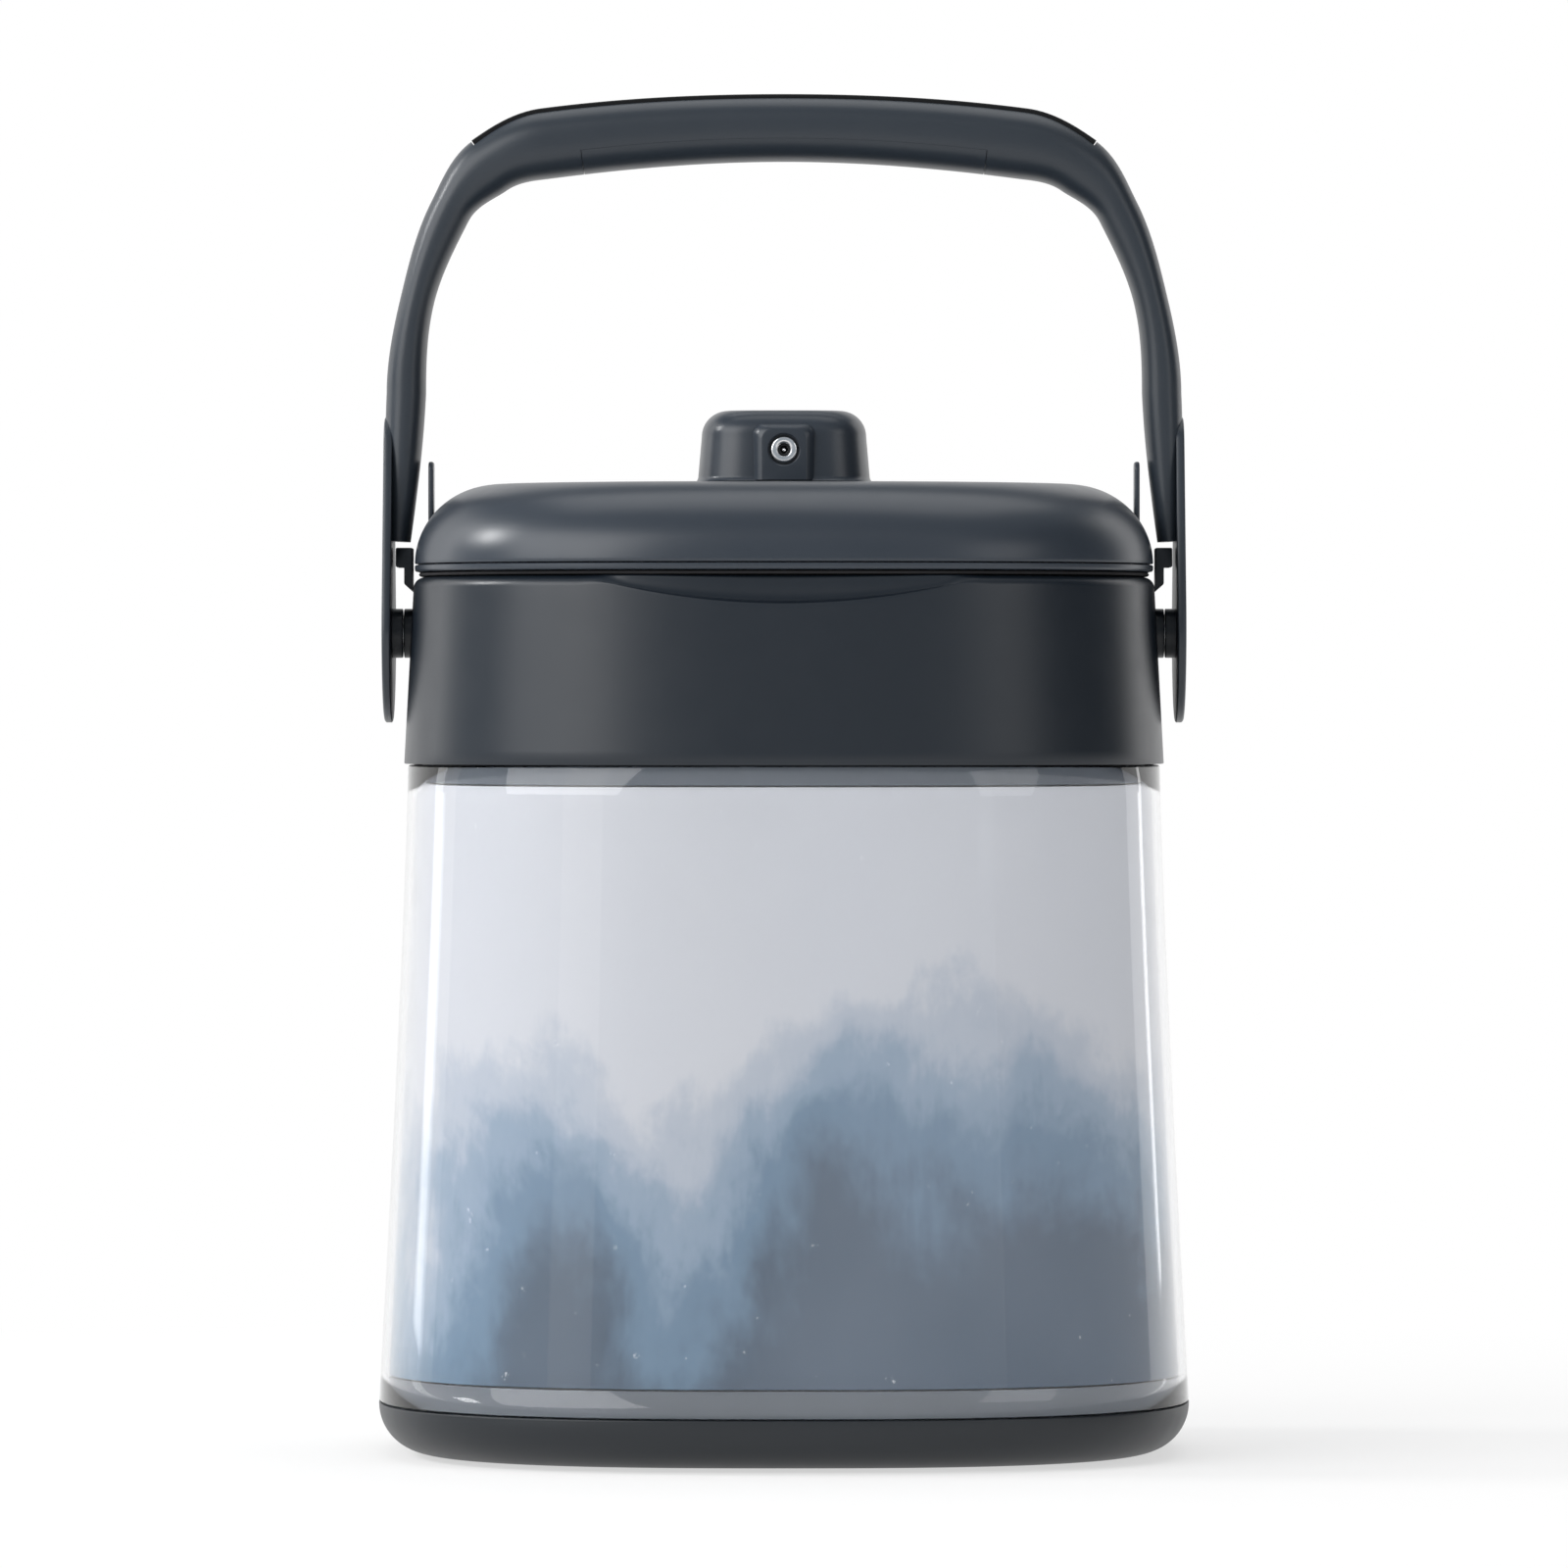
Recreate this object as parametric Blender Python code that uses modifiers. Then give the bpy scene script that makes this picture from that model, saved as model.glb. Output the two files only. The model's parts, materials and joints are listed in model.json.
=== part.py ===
# Cold therapy machine: a double-walled ice bucket with a lift-off lid, a pump that hangs from
# the lid, and a carrying handle that swings over it.
# Metres, +Z up, the front faces -Y. The origin is the middle of the base, on the ground.

import math

import bmesh
import bpy
from mathutils import Matrix, Vector

# Clearances
fit_gap = 0.0003
slide_gap = 0.0004
cut_overrun = 0.002
merge_distance = 0.00002

# Outline of the body seen from above: a rounded square, narrower from front to back
depth_share = 0.87
outline_power = 2.7
around_count = 32
turn_count = 24
small_turn_count = 12

# Heights of the stacked pieces
foot_height = 0.001
base_height = 0.014
shell_height = 0.180
collar_height = 0.0528
lid_gap = 0.0015
rim_height = 0.0019
dome_height = 0.0232

# Half width of the body at the ground, and how it steps in or out from piece to piece above
ground_half_width = 0.115
shell_flare = 0.0082
flare_power = 1.23
collar_step = 0.0011
collar_taper = 0.0028
lid_step = 0.0002

shell_top_half_width = ground_half_width - shell_flare
collar_bottom_half_width = shell_top_half_width + collar_step
collar_top_half_width = collar_bottom_half_width - collar_taper
lid_half_width = collar_top_half_width - lid_step

base_bottom_z = foot_height
base_top_z = base_bottom_z + base_height
shell_bottom_z = base_top_z + fit_gap
shell_top_z = shell_bottom_z + shell_height
collar_bottom_z = shell_top_z + fit_gap
collar_top_z = collar_bottom_z + collar_height
rim_bottom_z = collar_top_z + lid_gap
rim_top_z = rim_bottom_z + rim_height
cover_bottom_z = rim_top_z + fit_gap
lid_top_z = cover_bottom_z + dome_height

# The handle turns about this height, on the middle of the collar's sides
pivot_drop = 0.0158
pivot_z = collar_top_z - pivot_drop

# The pump hangs a little in front of the middle of the lid, its two pipes behind its motor
pump_y = -0.002
pipe_gap = 0.0024
pipe_half_spacing = 0.007
pipe_radius = 0.004
pipe_steps = 16

# Base
shell_wall = 0.0022
band_wall = 0.0014
band_height = 0.0077
base_edge_rise = 0.0002
base_wall = 0.0025
base_lip_wall = 0.002
base_lip_height = 0.006
base_edge_steps = 6
foot_radius = 0.009
foot_inset = 0.0011
foot_side_inset = 0.0510
foot_end_inset = 0.0480

# Reservoir: clear outer wall, printed sleeve, grey bands and inner tub
wall_levels = 4
sleeve_wall = 0.0006
liner_wall = 0.0022
liner_taper = 0.0027
liner_floor_rise = 0.0085
liner_edge_radius = 0.010
liner_edge_steps = 4
flange_wall = 0.002
flange_width = 0.0027
band_depth = 0.0055
collar_wall = 0.0025
collar_edge_radius = 0.003
deck_width = 0.0041
ledge_drop = 0.004
ledge_wall = 0.0025
web_height = 0.002
web_wall = 0.002
collar_lip_length = 0.0058
collar_lip_wall = 0.002
insulation_gap = 0.0005
base_pad_inset = 0.012

# Collar
boss_radius = 0.007
boss_proud = 0.0022
boss_root_depth = 0.0069
boss_end_wall = 0.0013
screw_radius = 0.0029
bolt_clearance = 0.0003
catch_half_depth = 0.006
catch_rise = 0.0030
catch_height = 0.0055
catch_reach = 0.0053
catch_inner_gap = 0.0005
catch_leg_reach = 0.0029
catch_root_depth = 0.0016
catch_leg_drop = 0.0058
catch_leg_slant = 0.0040
scoop_half_width = 0.0565
scoop_drop = 0.0078
scoop_depth = 0.0032
scoop_stations = 15
scoop_arc_steps = 5
scoop_reach_share = 1.06

# Lid
cover_wall = 0.0025
dome_edge_width = 0.0235
dome_steps = 7
dome_end_degrees = 84
crown_rise = 0.0006
crown_inset = 0.0599
notch_depth = 0.0038
notch_half_depth = 0.0125
notch_wall = 0.002
ear_thickness = 0.0014
ear_half_depth = 0.0062
ear_top_rise = 0.0293
ear_root_rise = 0.0102
plug_inset = 0.0104
plug_depth = 0.0105
tray_wall = 0.002
rim_edge_radius = 0.0008
tower_wall = 0.0022
tower_height = 0.022
shaft_hole_radius = 0.004
post_side_inset = 0.0429
post_end_inset = 0.0453
post_radius = 0.004
lid_screw_radius = 0.0016
screw_head_radius = 0.0031
screw_head_height = 0.0016
lid_screw_length = 0.018
motor_hole_gap = 0.0019
gasket_width = 0.0034
gasket_inset = 0.0052
gasket_lip_inset = 0.0012
foam_height = 0.018
foam_clearance = 0.0008

# Pump hood with the power socket and the hose port
pipe_bend_radius = 0.0060
hood_height = 0.0201
hood_half_width = 0.0244
hood_draft = 0.0010
hood_half_depth = 0.031
hood_y = 0.003
hood_power = 4.0
hood_count = 32
hood_edge_radius = 0.0072
hood_edge_steps = 5
hood_end_degrees = 80
hood_wall = 0.0022
hood_foot_flare = 0.0007
hood_foot_height = 0.0015
panel_half_width = 0.0069
panel_base_half_width = 0.0090
panel_top_gap = 0.0040
panel_top_slope = 0.0011
panel_root_depth = 0.0021
panel_proud = 0.0022
panel_corner_radius = 0.003
panel_corner_steps = 4
jack_panel_drop = 0.0074
jack_recess_gap = 0.00065
jack_boss_depth = 0.0028
barrel_radius = 0.0037
barrel_bore = 0.00185
barrel_flange = 0.0022
barrel_length = 0.012
barrel_set_back = 0.0002
jack_flange_width = 0.0004
port_half_width = 0.0125
port_low = 0.0035
port_top_gap = 0.0058
port_proud = 0.0073
port_edge = 0.0012
barb_radius = 0.0036
barb_bore = 0.0021
barb_length = 0.010
core_set_back = 0.0022
core_bore = 0.0011
core_depth = 0.0085
core_tail = 0.0015
pin_radius = 0.0005
pin_set_back = 0.0012
nut_radius = 0.0058
nut_height = 0.0018
nut_sides = 6
board_half_width = 0.014
board_top_gap = 0.0053
board_thickness = 0.0016
chip_half_width = 0.0035
chip_size = 0.005
chip_height = 0.0012
chip_lift = 0.0008

# Pump
motor_radius = 0.0121
motor_height = 0.027
shaft_radius = 0.0015
shaft_socket_depth = 0.006
column_radius = 0.008
column_wall = 0.0016
column_flange_radius = 0.0135
column_flange_height = 0.0024
spout_overhang = 0.003
housing_wall = 0.002
housing_height = 0.0160
strainer_height = 0.0158
impeller_radius = 0.0125
impeller_disc = 0.0015
impeller_hub_radius = 0.004
impeller_height = 0.008
impeller_lift = 0.0022
blade_count = 6
blade_thickness = 0.0012
strainer_floor_gap = 0.0022
strainer_wall = 0.002
slot_count = 8
slot_half_width = 0.0016
slot_low = 0.0028
spout_radius = 0.0055
spout_height = 0.012
motor_end_cap = 0.0015
motor_end_share = 0.55
pipe_wall = 0.0013
pipe_bend_steps = 5
return_drop = 0.016
lead_radius = 0.0009
lead_count = 9
lead_x = 0.004
lead_height = 0.0085

# Handle
arm_knee_inset = 0.0038
arm_knee_rise = 0.0683
arm_foot_inset = 0.0018
arm_foot_gap = 0.0018
arm_arc_radius = 0.1145
corner_arc_radius = 0.0357
arm_lean_degrees = 26.9
bar_slope_degrees = 7.5
arm_foot_steps = 3
section_power = 2.5
section_count = 12
path_steps = 4
bar_half_depth = 0.0125
arm_half_depth = 0.0100
bar_thickness = 0.0190
shoulder_thickness = 0.0199
corner_thickness = 0.0171
arm_top_thickness = 0.0119
arm_middle_thickness = 0.0096
arm_lower_thickness = 0.0112
arm_foot_thickness = 0.0064
paddle_radius = 0.0254
paddle_neck_radius = 0.0098
paddle_neck_rise = 0.0520
hub_length = 0.0032
paddle_thickness = 0.0024
paddle_edge = 0.0008
paddle_arc_steps = 9
head_recess_gap = 0.0006
bush_radius = 0.0046
screw_head_thickness = 0.0012
cap_proud = 0.0006
strip_end_inset = 0.0209
strip_half_depth = 0.0075
strip_thickness = 0.0017
pad_end_inset = 0.0469
pad_wall = 0.0016
pad_reach_degrees = 74
pad_side_degrees = 2
pad_arc_steps = 6
pad_stations = 13
grip_path_steps = 24
strip_stations = 25

parts = bpy.data.collections.new("cold_therapy_machine")
helpers = bpy.data.collections.new("cutters_and_joined_shapes")


def clear_scene():
    for old in list(bpy.data.objects):
        bpy.data.objects.remove(old)
    for collection in (parts, helpers):
        bpy.context.scene.collection.children.link(collection)


def material(name, colour, roughness, metallic=0.0, alpha=1.0):
    made = bpy.data.materials.new(name)
    made.use_nodes = True
    shader = made.node_tree.nodes["Principled BSDF"]
    shader.inputs["Base Color"].default_value = (*colour, 1.0)
    shader.inputs["Roughness"].default_value = roughness
    shader.inputs["Metallic"].default_value = metallic
    shader.inputs["Alpha"].default_value = alpha
    made.diffuse_color = (*colour, alpha)
    return made


finishes = {
    "charcoal": material("charcoal_plastic", (0.045, 0.055, 0.068), 0.42),
    "black": material("black_plastic", (0.018, 0.021, 0.026), 0.4),
    "grey": material("grey_band", (0.17, 0.19, 0.22), 0.45),
    "clear": material("clear_wall", (0.85, 0.9, 0.93), 0.08, alpha=0.35),
    "ice": material("frosted_sleeve", (0.5, 0.6, 0.68), 0.5),
    "white": material("white_liner", (0.8, 0.83, 0.85), 0.4),
    "foam": material("foam", (0.86, 0.86, 0.83), 0.9),
    "rubber": material("rubber", (0.02, 0.02, 0.022), 0.8),
    "nickel": material("nickel", (0.72, 0.73, 0.75), 0.25, metallic=1.0),
    "steel": material("steel", (0.55, 0.56, 0.58), 0.3, metallic=1.0),
    "board": material("circuit_board", (0.02, 0.16, 0.07), 0.5),
    "silicone": material("silicone", (0.55, 0.58, 0.6), 0.6),
}


def shown(obj, finish):
    """A finished piece: goes in the parts' collection with its material."""
    parts.objects.link(obj)
    obj.data.materials.clear()
    obj.data.materials.append(finishes[finish])
    return obj


def helper(obj):
    """A cutter, or a shape that another piece is joined from."""
    helpers.objects.link(obj)
    obj.hide_render = True
    obj.display_type = "WIRE"
    return obj


def shade(mesh, sharp_degrees=40):
    mesh.shade_smooth()
    mesh.set_sharp_from_angle(angle=math.radians(sharp_degrees))


def object_from(bm, name):
    bmesh.ops.recalc_face_normals(bm, faces=bm.faces)
    mesh = bpy.data.meshes.new(name)
    bm.to_mesh(mesh)
    bm.free()
    shade(mesh)
    return bpy.data.objects.new(name, mesh)


def rounded_ring(half_width, half_depth, z, power=outline_power, count=around_count):
    """A superellipse at height z: |x / half_width| ^ power + |y / half_depth| ^ power = 1."""
    ring = []
    for i in range(count):
        angle = 2 * math.pi * i / count
        c, s = math.cos(angle), math.sin(angle)
        x = half_width * math.copysign(abs(c) ** (2 / power), c)
        y = half_depth * math.copysign(abs(s) ** (2 / power), s)
        ring.append(Vector((x, y, z)))
    return ring


def body_ring(half_width, inset, z):
    """The body's outline for this half width, drawn in by inset on every side."""
    return rounded_ring(half_width - inset, half_width * depth_share - inset, z)


def loft(name, rings, closed_profile=False):
    """Skins the rings in order. The ends are capped, or the last ring joins the first."""
    bm = bmesh.new()
    rows = [[bm.verts.new(point) for point in ring] for ring in rings]
    pairs = list(zip(rows, rows[1:]))
    if closed_profile:
        pairs.append((rows[-1], rows[0]))
    else:
        bm.faces.new(rows[0])
        bm.faces.new(rows[-1])
    for lower, upper in pairs:
        for i in range(len(lower)):
            j = (i + 1) % len(lower)
            bm.faces.new((lower[i], lower[j], upper[j], upper[i]))
    return object_from(bm, name)


def along(obj, axis, place):
    """Turns a shape made along +Z to point along another axis, and moves it to its place."""
    quarter = math.pi / 2
    obj.rotation_euler = {
        "Z": (0, 0, 0),
        "X": (0, quarter, 0),
        "-X": (0, -quarter, 0),
        "Y": (-quarter, 0, 0),
        "-Y": (quarter, 0, 0),
    }[axis]
    obj.location = place
    return obj


def turned(name, profile, place=(0, 0, 0), axis="Z", closed_profile=False, steps=turn_count):
    """Turns (radius, height) points about an axis through place. The outer side runs downwards."""
    mesh = bpy.data.meshes.new(name)
    count = len(profile)
    edges = [(i, i + 1) for i in range(count - 1)]
    if closed_profile:
        edges.append((count - 1, 0))
    mesh.from_pydata([(radius, 0, height) for radius, height in profile], edges, [])
    obj = bpy.data.objects.new(name, mesh)
    screw = obj.modifiers.new("turn", "SCREW")
    screw.steps = screw.render_steps = steps
    screw.use_merge_vertices = True
    screw.merge_threshold = merge_distance
    screw.use_smooth_shade = True
    return along(obj, axis, place)


def rod(name, radius, low, high, place=(0, 0, 0), axis="Z", steps=turn_count):
    """A cylinder on an axis through place, from low to high along it."""
    bm = bmesh.new()
    bmesh.ops.create_cone(
        bm, cap_ends=True, segments=steps, radius1=radius, radius2=radius, depth=high - low
    )
    bmesh.ops.rotate(bm, verts=bm.verts, matrix=Matrix.Rotation(math.pi / steps, 3, "Z"))
    bmesh.ops.translate(bm, verts=bm.verts, vec=(0, 0, (low + high) / 2))
    return along(object_from(bm, name), axis, place)


def pipe(name, radius, bore, low, high, place=(0, 0, 0), axis="Z", steps=turn_count):
    profile = [(bore, high), (radius, high), (radius, low), (bore, low)]
    return turned(name, profile, place, axis, closed_profile=True, steps=steps)


def block(name, low, high):
    bm = bmesh.new()
    bmesh.ops.create_cube(bm, size=1.0)
    size = Vector(high) - Vector(low)
    centre = (Vector(high) + Vector(low)) / 2
    bmesh.ops.scale(bm, vec=size, verts=bm.verts)
    bmesh.ops.translate(bm, vec=centre, verts=bm.verts)
    return object_from(bm, name)


def soften(obj, width, segments=2, limit_degrees=30):
    bevel = obj.modifiers.new("soft edges", "BEVEL")
    bevel.width = width
    bevel.segments = segments
    bevel.angle_limit = math.radians(limit_degrees)
    bevel.limit_method = "ANGLE"
    return obj


def combine(obj, operation, others):
    """Cuts the other shapes out of obj, or joins them to it."""
    for other in others:
        helper(other)
        boolean = obj.modifiers.new(other.name, "BOOLEAN")
        boolean.operation = operation
        boolean.object = other
        boolean.solver = "EXACT"
    return obj


def cut(obj, *others):
    return combine(obj, "DIFFERENCE", others)


def join(obj, *others):
    return combine(obj, "UNION", others)


def arc_points(radius, first_degrees, last_degrees, count):
    """Points (across, up) on a quarter or other arc about its own centre."""
    points = []
    for i in range(count):
        angle = math.radians(first_degrees + (last_degrees - first_degrees) * i / (count - 1))
        points.append((radius * math.cos(angle), radius * math.sin(angle)))
    return points


def shell_half_width(z):
    """The clear wall flares towards the ground: the drop from its top, as a share, to a power."""
    drop = min(max((shell_top_z - z) / shell_height, 0.0), 1.0)
    return shell_top_half_width + (ground_half_width - shell_top_half_width) * drop**flare_power


def collar_half_width(z):
    share = (z - collar_bottom_z) / collar_height
    return collar_bottom_half_width + (collar_top_half_width - collar_bottom_half_width) * share


# Base


band_inset = shell_wall + fit_gap
lip_inset = band_inset + band_wall + fit_gap
base_floor_z = base_bottom_z + base_wall
liner_floor_z = base_floor_z + liner_floor_rise
base_edge_radius = base_height - base_edge_rise


def make_base():
    edge = arc_points(base_edge_radius, -90, 0, base_edge_steps)
    centre_z = base_bottom_z + base_edge_radius
    rings = [
        body_ring(ground_half_width, base_edge_radius - across, centre_z + up) for across, up in edge
    ]
    lip_inner = lip_inset + base_lip_wall
    lip_top = base_top_z + base_lip_height
    rings += [
        body_ring(ground_half_width, 0, base_top_z),
        body_ring(ground_half_width, lip_inset, base_top_z),
        body_ring(shell_half_width(lip_top), lip_inset, lip_top),
        body_ring(shell_half_width(lip_top), lip_inner, lip_top),
        body_ring(ground_half_width, lip_inner, centre_z),
        body_ring(ground_half_width, base_edge_radius, base_floor_z),
    ]
    shown(loft("base", rings), "black")


def make_feet():
    """Four rubber pads let into shallow pockets under the base."""
    base = bpy.data.objects["base"]
    foot_x = ground_half_width - foot_side_inset
    foot_y = ground_half_width * depth_share - foot_end_inset
    corners = {"front_left": (-1, -1), "front_right": (1, -1), "rear_left": (-1, 1), "rear_right": (1, 1)}
    for name, (side, end) in corners.items():
        place = (side * foot_x, end * foot_y, 0)
        top = base_bottom_z + foot_inset
        shown(rod("foot_" + name, foot_radius, 0, top, place), "rubber")
        pocket = rod("pocket_" + name, foot_radius + fit_gap, -cut_overrun, top + fit_gap, place)
        cut(base, pocket)


# Reservoir: clear outer wall, printed sleeve, grey bands and inner tub


def wall_tube(name, inset, wall, low, high, levels, finish):
    """A tube that follows the clear wall's outline between two heights, drawn in from it."""
    heights = [low + (high - low) * i / (levels - 1) for i in range(levels)]
    rings = [body_ring(shell_half_width(z), inset, z) for z in heights]
    rings += [body_ring(shell_half_width(z), inset + wall, z) for z in reversed(heights)]
    return shown(loft(name, rings, closed_profile=True), finish)


def make_reservoir_walls():
    lower_band_top = shell_bottom_z + band_height
    upper_band_bottom = shell_top_z - band_depth
    wall_tube("reservoir_shell", 0, shell_wall, shell_bottom_z, shell_top_z, wall_levels, "clear")
    wall_tube("lower_band", band_inset, band_wall, shell_bottom_z, lower_band_top, 2, "grey")
    wall_tube("upper_band", band_inset, band_wall, upper_band_bottom, shell_top_z, 2, "grey")
    low = lower_band_top + fit_gap
    high = upper_band_bottom - fit_gap
    wall_tube("frosted_sleeve", band_inset, sleeve_wall, low, high, wall_levels, "ice")


web_inset = collar_bottom_half_width - shell_top_half_width + lip_inset
ledge_z = collar_top_z - ledge_drop
ledge_inset = deck_width + flange_width
flange_bottom_z = ledge_z + fit_gap
flange_top_z = flange_bottom_z + flange_wall


def liner_ring(z, inset):
    """The tub narrows downwards, so it is drawn in from the mouth's outline."""
    drop_share = (flange_bottom_z - z) / (flange_bottom_z - liner_floor_z)
    return liner_mouth_ring(liner_taper * drop_share + inset, z)


def liner_mouth_ring(inset, z):
    outer = collar_half_width(ledge_z)
    return body_ring(outer, ledge_inset + fit_gap + inset, z)


def make_liner():
    edge = arc_points(liner_edge_radius, -90, 0, liner_edge_steps)
    outer = [
        liner_ring(liner_floor_z + liner_edge_radius + up, liner_edge_radius - across) for across, up in edge
    ]
    inner_radius = liner_edge_radius - liner_wall
    inner_edge = arc_points(inner_radius, 0, -90, liner_edge_steps)
    inner = [
        liner_ring(liner_floor_z + liner_edge_radius + up, liner_wall + inner_radius - across)
        for across, up in inner_edge
    ]
    flange = [
        liner_mouth_ring(0, flange_bottom_z),
        liner_mouth_ring(-flange_width, flange_bottom_z),
        liner_mouth_ring(-flange_width, flange_top_z),
        liner_mouth_ring(liner_wall, flange_top_z),
    ]
    shown(loft("reservoir_liner", outer + flange + inner), "white")


def make_base_insulation():
    """A foam pad between the base's floor and the underside of the tub."""
    top = liner_floor_z - insulation_gap
    low = base_floor_z + fit_gap
    rings = [
        liner_mouth_ring(base_pad_inset, low),
        liner_mouth_ring(base_pad_inset, top),
    ]
    shown(loft("base_insulation", rings), "foam")


# Collar


boss_face_x = collar_half_width(pivot_z) + boss_proud
boss_root_x = collar_half_width(pivot_z) - boss_root_depth
catch_low_z = collar_top_z + catch_rise
catch_high_z = catch_low_z + catch_height


def front_y(half_width, x):
    """How far forward the outline reaches at x."""
    share = 1 - abs(x / half_width) ** outline_power
    return -half_width * depth_share * share ** (1 / outline_power)


def scoop_cutter():
    """A shallow crescent in the top edge of the collar's front, deepest in the middle. It runs on a
    little past each end, where it rises clear of the collar."""
    rings = []
    for i in range(scoop_stations):
        x = scoop_half_width * scoop_reach_share * (2 * i / (scoop_stations - 1) - 1)
        share = 1 - (x / scoop_half_width) ** 2
        face = front_y(collar_half_width(collar_top_z), x)
        low = collar_top_z - scoop_drop * share
        section = [(face - cut_overrun, collar_top_z + cut_overrun), (face - cut_overrun, low)]
        for across, up in arc_points(1.0, -90, 0, scoop_arc_steps):
            section.append((face + scoop_depth * share * across, collar_top_z + scoop_drop * share * up))
        section.append((face + scoop_depth * share, collar_top_z + cut_overrun))
        rings.append([Vector((x, y, z)) for y, z in section])
    return loft("scoop", rings)


def catch_lug(side):
    """A lug beside the lid's rim, on a leg from the collar's shoulder. The handle's arm ends over it."""
    root_top = collar_top_z - collar_edge_radius
    leg_low = collar_top_z - catch_leg_drop
    root = collar_top_half_width - catch_root_depth
    inner = collar_top_half_width + catch_inner_gap
    leg = collar_top_half_width + catch_leg_reach
    outer = collar_top_half_width + catch_reach
    outline = [
        (root, leg_low),
        (leg, leg_low + catch_leg_slant),
        (leg, catch_low_z),
        (outer, catch_low_z),
        (outer, catch_high_z),
        (inner, catch_high_z),
        (inner, root_top),
        (root, root_top),
    ]
    ends = [
        [Vector((side * x, y, z)) for x, z in outline] for y in (-catch_half_depth, catch_half_depth)
    ]
    return loft("catch_%+d" % side, ends)


def make_collar():
    lip_outer = web_inset
    lip_inner = lip_outer + collar_lip_wall
    web_top = collar_bottom_z + web_height + web_wall
    edge = arc_points(collar_edge_radius, 0, 90, 3)
    top_centre = collar_top_z - collar_edge_radius
    wall_foot = collar_bottom_z + web_height

    def ring(inset, z):
        return body_ring(collar_half_width(z), inset, z)

    rings = [ring(0, collar_bottom_z), ring(0, pivot_z)]
    rings += [ring(collar_edge_radius - across, top_centre + up) for across, up in edge]
    rings += [
        ring(deck_width, collar_top_z),
        ring(deck_width, ledge_z),
        ring(ledge_inset, ledge_z),
        ring(ledge_inset, ledge_z - ledge_wall),
        ring(collar_wall, ledge_z - ledge_wall),
        ring(collar_wall, web_top),
        ring(lip_inner, web_top),
        ring(lip_inner, collar_bottom_z - collar_lip_length),
        ring(lip_outer, collar_bottom_z - collar_lip_length),
        ring(lip_outer, wall_foot),
        ring(collar_wall, wall_foot),
        ring(collar_wall, collar_bottom_z),
    ]
    collar = shown(loft("collar", rings, closed_profile=True), "charcoal")
    for side, axis in ((1, "X"), (-1, "-X")):
        place = (0, 0, pivot_z)
        boss = rod("boss_" + axis, boss_radius, boss_root_x, boss_face_x, place, axis)
        join(collar, boss)
        bore = rod(
            "boss_bore_" + axis, screw_radius + bolt_clearance,
            boss_root_x + boss_end_wall, boss_face_x + cut_overrun, place, axis,
        )
        cut(collar, bore)
        join(collar, catch_lug(side))
    cut(collar, scoop_cutter())


# Lid


tray_floor_z = rim_bottom_z - plug_depth
notch_floor_x = lid_half_width - notch_depth
tower_radius = motor_radius + fit_gap + tower_wall
pipe_y = pump_y + tower_radius + pipe_radius + pipe_gap
hood_base_z = lid_top_z + fit_gap


def dome_rings(inset, low):
    """The lid's dome: a quarter ellipse up from the rim, then a slight crown to the middle."""
    crown_z = lid_top_z - crown_rise - inset
    rise = crown_z - low
    rings = []
    for across, up in arc_points(1.0, 0, dome_end_degrees, dome_steps):
        drawn_in = dome_edge_width * (1 - across)
        rings.append(body_ring(lid_half_width, inset + drawn_in, low + rise * up))
    half_width = lid_half_width - crown_inset
    rings.append(rounded_ring(half_width, half_width * depth_share, lid_top_z - inset))
    return rings


def notch_block(name, side, floor_x, half_depth):
    """The space that the handle's arm needs beside the lid."""
    far = lid_half_width + cut_overrun
    xs = sorted((side * floor_x, side * far))
    low = (xs[0], -half_depth, rim_bottom_z - cut_overrun)
    high = (xs[1], half_depth, lid_top_z + cut_overrun)
    return block(name, low, high)


def lid_ear(side):
    """An upright plate that the handle's arm stands against."""
    xs = sorted((side * notch_floor_x, side * (notch_floor_x - ear_thickness)))
    low = (xs[0], -ear_half_depth, cover_bottom_z + ear_root_rise)
    high = (xs[1], ear_half_depth, cover_bottom_z + ear_top_rise)
    return block("ear_%+d" % side, low, high)


def post_places():
    post_x = lid_half_width - post_side_inset
    post_y = lid_half_width * depth_share - post_end_inset
    return [(x * post_x, y * post_y) for x in (-1, 1) for y in (-1, 1)]


def make_cover():
    cover = shown(loft("lid_cover", dome_rings(0, cover_bottom_z)), "charcoal")
    hollow = loft("lid_hollow", dome_rings(cover_wall, cover_bottom_z - cut_overrun))
    for side in (-1, 1):
        wide = notch_half_depth + notch_wall
        cut(hollow, notch_block("hollow_notch_%+d" % side, side, notch_floor_x - notch_wall, wide))
    cut(cover, hollow)
    for side in (-1, 1):
        cut(cover, notch_block("notch_%+d" % side, side, notch_floor_x, notch_half_depth))
        join(cover, lid_ear(side))
    post_low = tray_floor_z + tray_wall + fit_gap
    post_high = lid_top_z - crown_rise - cover_wall / 2
    for number, (x, y) in enumerate(post_places(), 1):
        place = (x, y, 0)
        name = "post_%d" % number
        join(cover, rod(name, post_radius, post_low, post_high, place, steps=small_turn_count))
        bore_low = post_low - cut_overrun
        bore_top = tray_floor_z + lid_screw_length + fit_gap
        radius = lid_screw_radius + bolt_clearance
        cut(cover, rod(name + "_bore", radius, bore_low, bore_top, place, steps=small_turn_count))
    top = lid_top_z + cut_overrun
    cut(cover, rod("motor_hole", tower_radius + motor_hole_gap, rim_top_z, top, (0, pump_y, 0)))
    for side in (-1, 1):
        place = (side * pipe_half_spacing, pipe_y, 0)
        radius = pipe_radius + slide_gap
        cut(cover, rod("cover_pipe_hole_%+d" % side, radius, rim_top_z, top, place, steps=pipe_steps))


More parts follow.
